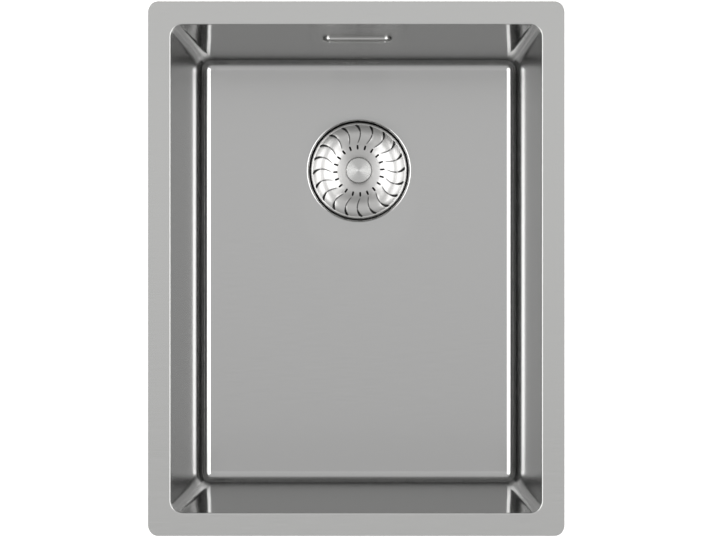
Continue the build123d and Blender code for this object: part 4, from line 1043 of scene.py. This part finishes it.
for upper in (True, False):  # close the wall between outside and bore at both ends
    end_edges = [edge for edge in open_edges if (edge.verts[0].co.z > (HOSE_TOP + HOSE_LOW) / 2) == upper]
    bmesh.ops.bridge_loops(work, edges=end_edges)
hose_mesh = smoothed(mesh_of(work, "hose"), 60)
piece("corrugated_hose", hose_mesh, hose_grey, "hose_plastic", "sink", "overflow_hose")

# ------------------------------------------------------------------ hose clamps
# A worm-drive clamp holds each cuff: a steel band with a row of slots pressed in it, and
# a housing for the screw whose hexagon head stands out at the side.
BAND_WIDTH, BAND_THICKNESS, BAND_GAP = 8 * mm, 0.65 * mm, 0.05 * mm
BAND_TEETH, TOOTH_LEAN = 40, 0.2
BAND_EDGE, BAND_EDGE_WIDTH = 0.2 * mm, 0.6 * mm
WORM_REACH, WORM_HALF, HEAD_HIGH = 11 * mm, 2.6 * mm, 5.2 * mm
band_inner = CUFF_RADIUS + BAND_GAP
band_outer = band_inner + BAND_THICKNESS
band_half = BAND_WIDTH / 2
band_flat = band_half - BAND_EDGE_WIDTH
band_profile = [(band_inner, -band_half), (band_outer + BAND_EDGE, -band_half), (band_outer, -band_flat)]
band_profile += [(band_outer, band_flat), (band_outer + BAND_EDGE, band_half), (band_inner, band_half)]
band = turned("band", band_profile, 80, 0.15 * mm, Matrix())
tooth_place = Matrix.Translation((band_outer, 0, 0)) @ Matrix.Rotation(pi / 2, 4, "Y")
tooth_place = tooth_place @ Matrix.Rotation(TOOTH_LEAN, 4, "Z")
tooth = plate("tooth", rectangle(4.4 * mm, 0.55 * mm), -0.1 * mm, 0.22 * mm, 0.1 * mm, tooth_place)
teeth = round_axis(tooth, BAND_TEETH, plain_steel, (0, 0, 0))
worm_place = Matrix.Translation((WORM_REACH, 0, 0)) @ Matrix.Rotation(pi / 2, 4, "X")
worm_outline = millimetres((-2.9, -3.9), (1.0, -3.9), (2.9, -2.0), (2.9, 2.0), (1.0, 3.9), (-2.9, 3.9))
worm_outline = softened(worm_outline, 1 * mm, 4, closed=True)
worm_shell = plate("worm_shell", worm_outline, -WORM_HALF, WORM_HALF, 0.3 * mm, worm_place)
screw_head = nut("screw_head", 5.2 * mm, 0.8 * mm, WORM_HALF, HEAD_HIGH)
screw_head.transform(worm_place)
clamp_mesh = joined("hose_clamp", band, teeth, worm_shell, screw_head)
upper_place = Matrix.Translation((0, HOSE_Y, HOSE_TOP - CUFF_LENGTH / 2))
lower_place = Matrix.Translation((0, HOSE_END + CUFF_LENGTH / 2, HOSE_LOW)) @ Matrix.Rotation(pi / 2, 4, "X")
for side, place in (("upper", upper_place), ("lower", lower_place)):
    placed = clamp_mesh.copy()
    placed.transform(place)
    piece(side + "_band", placed, plain_steel, "fastener_steel", "sink", side + "_hose_clamp")

# ------------------------------------------------------------------ plug stem and its rings
# The plug's stem slides in the centre screw's collar. Spring rings sit in three grooves:
# one to hold the plug where it is set, one under the bell and one in the knob.
STEM_RADIUS, GROOVE_RADIUS, GROOVE_WIDTH = 4.0, 3.2, 1.2
stem_profile = [(0, -222.4), (3.2, -222.4), (STEM_RADIUS, -221.6)]
for groove in (-217.7, -212.2, -190.7):
    stem_profile += [(STEM_RADIUS, groove), (GROOVE_RADIUS, groove)]
    stem_profile += [(GROOVE_RADIUS, groove + GROOVE_WIDTH), (STEM_RADIUS, groove + GROOVE_WIDTH)]
    if groove == -212.2:  # the collar that carries the strainer
        stem_profile += [(STEM_RADIUS, -205.0), (6.0, -205.0), (6.0, -203.5), (STEM_RADIUS, -203.5)]
stem_profile += [(STEM_RADIUS, -187.4), (0, -187.4)]
stem_mesh = turned("stem", millimetres(*stem_profile), 48, 0.12 * mm)
piece("stem", stem_mesh, plain_steel, "fastener_steel", "plug", "plug_stem")


def spring_ring(name, inner, outer, low, high, gap):
    """A flat spring ring round the drain's axis, open by this angle on its right."""
    section = softened([(inner, low), (outer, low), (outer, high), (inner, high)], 0.15 * mm, 2, closed=True)
    turns = [gap / 2 + (2 * pi - gap) * k / 40 for k in range(41)]
    rings = [[DRAIN + Vector((r * cos(turn), r * sin(turn), h)) for r, h in section] for turn in turns]
    return smoothed(lofted(name, rings, capped=True))


spring_steel = mottled(
    "dark_spring_steel", (0.24, 0.24, 0.25), (0.34, 0.34, 0.34), (0.25, 0.4), 1.5 * mm, 0.006 * mm, 1.0
)
for name, node, outer, low, gap in (
    ("detent_ring", "stem_detent_ring", 3.95, -217.65, 0.5),
    ("retaining_ring", "bell_circlip", 6.8, -212.15, 0.3),
    ("snap_ring", "knob_snap_ring", 4.8, -190.65, 0.42),
):
    ring_mesh = spring_ring(name, 3.25 * mm, outer * mm, low * mm, (low + 1.1) * mm, gap)
    piece(name, ring_mesh, spring_steel, "spring_steel", "plug", node)

# ------------------------------------------------------------------ stopper bell and its seal
# Under the strainer the plug carries a bell of dark plastic, and round its rim a rubber
# lip that closes the holes in the cup's floor when the plug is pushed down.
bell_plastic = mottled(
    "bell_plastic", (0.05, 0.05, 0.052), (0.075, 0.075, 0.077), (0.3, 0.45), 4 * mm, 0.012 * mm
)
bell_under = [(4.06, -211.0), (8.0, -211.0), (9.5, -208.0), (26.5, -220.7), (26.5, -222.2), (28.0, -222.2)]
bell_profile = millimetres(*bell_under, (28.0, -219.2), (11.0, -206.5), (8.0, -205.0), (4.06, -205.0))
bell_mesh = turned("bell", bell_profile, 96, 0.5 * mm)
piece("bell", bell_mesh, bell_plastic, "stopper_plastic", "plug", "stopper_bell")
lip_rubber = mottled("lip_rubber", (0.025, 0.025, 0.027), (0.04, 0.04, 0.042), (0.45, 0.6), 2 * mm, 0.02 * mm)
lip_under = [(24.5, -224.0), (26.0, -225.8), (28.0, -225.8), (29.5, -224.0)]
lip_mesh = turned("sealing_lip", millimetres(*lip_under, (29.5, -222.2), (24.5, -222.2)), 96, 0.5 * mm)
piece("sealing_lip", lip_mesh, lip_rubber, "seal_rubber", "plug", "stopper_seal")

# ------------------------------------------------------------------ strainer plate
# The strainer is a disc of thin stainless sheet, pressed into twenty curved petals. A
# slit is cut between each two petals and a short slot at the inner end of each crease.
SHEET_PLATE = 0.8 * mm
PETALS = 20
PETAL_TURN = 2 * pi / PETALS
FIRST_CREASE = radians(3.2)
CREASE_BOW = radians(-5.6)
PLATE_FLAT = -194 * mm
FLUTE_EDGE = PLATE_FLAT + 0.8 * mm
FLUTE_CREST = -190.3 * mm
FLAT_RADIUS, FLUTE_INNER, FLUTE_OUTER = 18.2 * mm, 24 * mm, 41 * mm
CREASE_DROP, CREASE_NOTCH = 0.16 * mm, 0.05 * mm
CREASE_END, CREASE_RUN_OUT = 42.5 * mm, 3 * mm
CREASE_HALF = 0.3 * mm  # half the width of the strip of faces along a crease
SLOT_START, SLOT_END, SLOT_HALF = 19 * mm, 23.2 * mm, 0.85 * mm
SLIT_START, SLIT_END, SLIT_HALF = 34 * mm, 41.4 * mm, 1.45 * mm


def plate_base(radius):
    """Height of the plate's top face at this distance from its axis, without the creases."""
    if radius <= FLAT_RADIUS:
        return PLATE_FLAT
    crest = (FLUTE_INNER + FLUTE_OUTER) / 2
    if radius <= crest:
        share = (radius - FLAT_RADIUS) / (crest - FLAT_RADIUS)
        return PLATE_FLAT + (FLUTE_CREST - PLATE_FLAT) * share * share * (3 - 2 * share)
    rise, reach = FLUTE_CREST - FLUTE_EDGE, FLUTE_OUTER - crest
    ball = (reach * reach + rise * rise) / (2 * rise)
    return FLUTE_CREST - ball + sqrt(ball * ball - (radius - crest) ** 2)


def opening_half(radius):
    """Half the width of the hole that the crease's line meets at this radius, or None."""
    if SLOT_START <= radius <= SLOT_END:
        to_end = min(radius - SLOT_START, SLOT_END - radius, SLOT_HALF)
        return sqrt(max(SLOT_HALF**2 - (SLOT_HALF - to_end) ** 2, 0))
    if SLIT_START <= radius <= SLIT_END:
        widening = SLIT_HALF * ((radius - SLIT_START) / (SLIT_END - SLIT_START)) ** 0.8
        to_end = min(SLIT_END - radius, SLIT_HALF)
        return min(widening, sqrt(max(SLIT_HALF**2 - (SLIT_HALF - to_end) ** 2, 0)))
    return None


def petal_sector():
    """One sector of the plate, from the middle of a petal to the middle of the next."""
    radii = [7.05, 10, 14, 17.4, 18.2, 18.7, 19, 19.06, 19.2, 19.42, 19.65, 21, 22.55, 22.78, 23, 23.14, 23.2]
    radii += [23.6, 24, 24.6, 25.4] + list(range(26, 34)) + [33.6, 34, 34.15, 34.5, 35, 36, 37, 38, 39, 40]
    radii += [40.55, 40.8, 41.05, 41.25, 41.36, 41.4]
    profile = [(r * mm, plate_base(min(r * mm, FLUTE_OUTER))) for r in radii]
    profile += [(41.9 * mm, FLUTE_EDGE - 0.15 * mm), (42.4 * mm, FLUTE_EDGE - 0.4 * mm)]
    profile += [(42.8 * mm, FLUTE_EDGE - 0.8 * mm), (43.1 * mm, FLUTE_EDGE - 1.4 * mm)]
    profile += [(43.2 * mm, FLUTE_EDGE - 2.1 * mm), (43.2 * mm, FLUTE_EDGE - 4.8 * mm)]
    shares = (0, 0.12, 0.26, 0.42, 0.6, 0.8, 1)
    work = bmesh.new()
    painted_crease_shade = work.verts.layers.float.new("crease")
    rows = []
    for radius, height in profile:
        hole = opening_half(radius)
        half = CREASE_HALF if hole is None else hole
        inner = half / radius / PETAL_TURN
        across = [inner + (0.5 - inner) * share for share in shares]
        along = min(max((radius - FLUTE_INNER) / (FLUTE_OUTER - FLUTE_INNER), 0), 1)
        bow = CREASE_BOW * 4 * along * (1 - along)
        run_out = min(1, max(0, (CREASE_END - radius) / CREASE_RUN_OUT))
        drop = CREASE_DROP * min(1, 3.2 * along) ** 1.5 * run_out**0.5
        row = []
        for place in [-a for a in reversed(across)] + across:
            turn = FIRST_CREASE + bow + place * PETAL_TURN
            notch_and_painted_shade = min(1, 8 * along) if abs(place) == inner and radius < FLUTE_OUTER else 0
            sunk = drop * (1 - 2 * abs(place)) ** 3 + CREASE_NOTCH * notch_and_painted_shade
            row.append(work.verts.new((radius * cos(turn), radius * sin(turn), height - sunk)))
            # painted shade: this crease attribute darkens the steel's colour along each crease, beside the
            # real notch
            row[-1][painted_crease_shade] = notch_and_painted_shade
        rows.append((radius, row))
    middle = len(shares) - 1
    for (inner_radius, near), (outer_radius, far) in zip(rows, rows[1:]):
        in_hole = opening_half((inner_radius + outer_radius) / 2) is not None
        for k in range(len(near) - 1):
            if k == middle and in_hole:
                continue
            work.faces.new((near[k], far[k], far[k + 1], near[k + 1]))
    mesh = bpy.data.meshes.new("petal_sector")
    work.to_mesh(mesh)
    work.free()
    return mesh


def turned_steel(name, tint, roughness):
    """Bright steel turned on a lathe: its fine rings run round the drain's axis."""
    finish = polished_steel(name, tint, roughness)
    tree = finish.node_tree
    place = add_node(tree, "ShaderNodeTexCoord")["Object"]
    from_axis = add_node(tree, "ShaderNodeVectorMath", {0: place, 1: DRAIN}, operation="SUBTRACT")[0]
    outwards = add_node(tree, "ShaderNodeVectorMath", {0: from_axis, 1: (1, 1, 0)}, operation="MULTIPLY")[0]
    to_world = {"vector_type": "VECTOR", "convert_from": "OBJECT", "convert_to": "WORLD"}
    turned_with = add_node(tree, "ShaderNodeVectorTransform", {0: outwards}, **to_world)[0]
    fill_in(tree, tree.nodes["Principled BSDF"], {"Anisotropic": 0.85, "Tangent": turned_with})
    return finish


def painted_crease_shade_steel(name, tint, painted_crease_shade_tint, roughness):
    """Turned steel painted darker down in the creases, as painted shade, by the mesh's own crease attribute.
    """
    finish = turned_steel(name, tint, roughness)
    tree = finish.node_tree
    sunk = add_node(tree, "ShaderNodeAttribute", attribute_name="crease")["Fac"]
    # painted shade: the dark crease tint is mixed in where the crease attribute is one
    tints = {"Factor": sunk, "A": (*tint, 1), "B": (*painted_crease_shade_tint, 1)}
    blend = add_node(tree, "ShaderNodeMix", tints, data_type="RGBA")["Result"]
    fill_in(tree, tree.nodes["Principled BSDF"], {"Base Color": blend})
    return finish


PETAL_WELD = 0.004 * mm
# the second, dark tint is painted shade along the creases
strainer_steel = painted_crease_shade_steel("bright_strainer", (0.64, 0.635, 0.625), (0.12, 0.12, 0.12), 0.3)
plate_mesh = round_axis(petal_sector(), PETALS, strainer_steel, join_within=PETAL_WELD)
work = bmesh.new()
work.from_mesh(plate_mesh)
bmesh.ops.remove_doubles(work, verts=work.verts, dist=PETAL_WELD)
bmesh.ops.recalc_face_normals(work, faces=work.faces)
if sum(face.normal.z for face in work.faces) < 0:
    bmesh.ops.reverse_faces(work, faces=work.faces)
work.to_mesh(plate_mesh)
work.free()
plate_mesh = smoothed(modified(plate_mesh, "SOLIDIFY", thickness=SHEET_PLATE, offset=-1.0), 50)
piece("strainer_petals", plate_mesh, strainer_steel, "strainer_steel", "strainer", "strainer_plate")

# ------------------------------------------------------------------ strainer knob
# The knob is turned from solid steel, with a narrow waist to grip it by, a dished top
# and fine rings left by the tool. A spigot under it is riveted through the plate.
knob_profile = millimetres((0, -197.2), (6.9, -197.2), (6.9, -194.0), (9.2, -194.0), (9.2, -191.4))
knob_profile += millimetres((12.0, -189.8), (12.0, -185.4), (10.8, -184.2), (0, -184.8))
knob_finish = turned_steel("turned_knob_steel", (0.62, 0.62, 0.61), 0.26)
piece(
    "turned_knob", turned("turned_knob", knob_profile), knob_finish, "knob_steel", "strainer", "strainer_knob"
)

# ------------------------------------------------------------------ knob push nut
# A thin dished push nut under the plate grips the knob's spigot with its inner teeth.
push_profile = millimetres(
    (7.08, -195.1), (7.4, -194.85), (9.2, -195.5), (9.2, -195.98), (7.4, -195.3), (7.08, -195.6)
)
push_mesh = turned("push_nut", push_profile, 72, 0.08 * mm)
piece("push_nut", push_mesh, spring_steel, "spring_steel", "strainer", "knob_push_nut")

# ------------------------------------------------------------------ clip studs
# Six studs are spot welded under the rim, each with a weld disc, a collar that its clip
# turns on, and a threaded shank.
SIDE_STUD_X, SIDE_STUD_Y = 162.1 * mm, 120 * mm
END_STUD_Y, REAR_STUD_X = 210.1 * mm, 19.8 * mm
CLIP_PLACES = {
    "left_front": (-SIDE_STUD_X, -SIDE_STUD_Y, pi / 2),
    "left_rear": (-SIDE_STUD_X, SIDE_STUD_Y, -pi / 2),
    "right_front": (SIDE_STUD_X, -SIDE_STUD_Y, pi / 2),
    "right_rear": (SIDE_STUD_X, SIDE_STUD_Y, -pi / 2),
    "front": (0, -END_STUD_Y, 0),
    "rear": (REAR_STUD_X, END_STUD_Y, 0),
}
clip_places = {}
for name, (x, y, turn) in CLIP_PLACES.items():
    clip_places[name] = Matrix.Translation((x, y, 0)) @ Matrix.Rotation(turn, 4, "Z")
stud_head = millimetres(
    (2.5, -6.7), (2.5, -4.4), (4.0, -4.4), (4.0, -2.2), (5.5, -2.2), (5.5, -1.22), (0, -1.22)
)
clip_stud = stud("clip_stud", 2.5 * mm, -18.2 * mm, -6.8 * mm, 0.8 * mm, plain_steel, stud_head)
fasteners("rim_studs", clip_stud, clip_places.values(), "clip_studs")

# ------------------------------------------------------------------ worktop clips
# Each clip is a strip of zinc-plated steel, cranked so that its foot lies under the rim
# and bent over a stud; a screw through the hole in its foot holds it to the worktop.
CLIP_WIDTH, CLIP_LENGTH, CLIP_THICKNESS, CLIP_BEVEL = 14 * mm, 50 * mm, 2 * mm, 0.25 * mm
CLIP_HIGH, FOOT_HIGH = -4.6 * mm, -2.0 * mm
CRANK_START, CRANK_LENGTH = 11 * mm, 4 * mm
FOOT_CORNER = 3 * mm
SCREW_REACH, CLIP_HOLE, HOLE_LOW = 38 * mm, 2.75 * mm, -9 * mm


def clip_half_width(x):
    """Half the clip's width this far from its stud: round at the stud, small corners at the foot."""
    half = CLIP_WIDTH / 2
    if x < 0:
        return sqrt(max(half * half - x * x, 0.0))
    past = x - (CLIP_LENGTH - FOOT_CORNER)
    if past > 0:
        return half - FOOT_CORNER + sqrt(max(FOOT_CORNER**2 - past**2, 0.0))
    return half


def clip_mesh():
    """The strip with its crank, lofted from the round end over the stud to the foot."""
    crank_end, foot = CRANK_START + CRANK_LENGTH, CLIP_LENGTH - FOOT_CORNER
    stations = [-CLIP_WIDTH / 2 * cos(pi / 2 * k / 10) for k in range(10)]
    stations += rows(0, CRANK_START, 2 * mm) + rows(CRANK_START, crank_end, 0.4 * mm)[1:]
    stations += rows(crank_end, foot, 4 * mm)[1:]
    stations += [foot + FOOT_CORNER * sin(pi / 2 * k / 6) for k in range(1, 7)]
    rings = []
    for x in stations:
        wide = max(clip_half_width(x), 0.4 * mm)
        share = min(max((x - CRANK_START) / CRANK_LENGTH, 0), 1)
        high = CLIP_HIGH + (FOOT_HIGH - CLIP_HIGH) * share * share * (3 - 2 * share) - HAIR
        low = high - CLIP_THICKNESS + 2 * HAIR
        flat = wide - CLIP_BEVEL
        section = [(-flat, low), (flat, low), (wide, low + CLIP_BEVEL), (wide, high - CLIP_BEVEL)]
        section += [(flat, high), (-flat, high), (-wide, high - CLIP_BEVEL), (-wide, low + CLIP_BEVEL)]
        rings.append([(x, y, z) for y, z in section])
    return lofted("clip", rings, capped=True)


hole_places = (("pivot", Matrix()), ("screw", Matrix.Translation((SCREW_REACH, 0, 0))))
hole_pins = [pin(name, CLIP_HOLE, HOLE_LOW, 0, place, 32) for name, place in hole_places]
clip_holes = joined("clip_holes", *hole_pins)
clip = smoothed(drilled(clip_mesh(), clip_holes))
for name, place in clip_places.items():
    placed = clip.copy()
    placed.transform(place)
    piece(name + "_strap", placed, zinc, "zinc_plate", name + "_swivel", name + "_clip")

# ------------------------------------------------------------------ clip washers and wing nuts
# A washer and a zinc-plated wing nut on each stud press its clip against the collar.
WING_THICKNESS = 2 * mm
clip_washer_profile = millimetres((2.75, -7.78), (6.0, -7.78), (6.0, -6.82), (2.75, -6.82))
clip_washer = turned("clip_washer", clip_washer_profile, 40, 0.2 * mm, Matrix())
fasteners("rim_washers", clip_washer, clip_places.values(), "clip_washers")
hub_profile = millimetres((2.55, -12.8), (3.9, -12.8), (4.6, -7.82), (2.55, -7.82))
hub = turned("wing_hub", hub_profile, 40, 0.35 * mm, Matrix())
wing_corners = [(3.2, -8.9), (4.4, -8.8), (8.2, -11.0), (11.0, -13.4), (10.6, -15.8), (7.6, -15.8)]
wing_corners.append((3.2, -12.2))
wing_outline = [p * mm for p in softened(wing_corners, 1.4, 4, closed=True)]
wing = plate("wing", wing_outline, -WING_THICKNESS / 2, WING_THICKNESS / 2, 0.5 * mm, UPRIGHT)
wings = round_axis(wing, 2, zinc, (0, 0, 0))
wing_nuts = set_out(joined("wing_nut", hub, wings), clip_places.values(), zinc)
piece("wing_nuts", wing_nuts, zinc, "zinc_plate", "sink", "clip_wing_nuts")
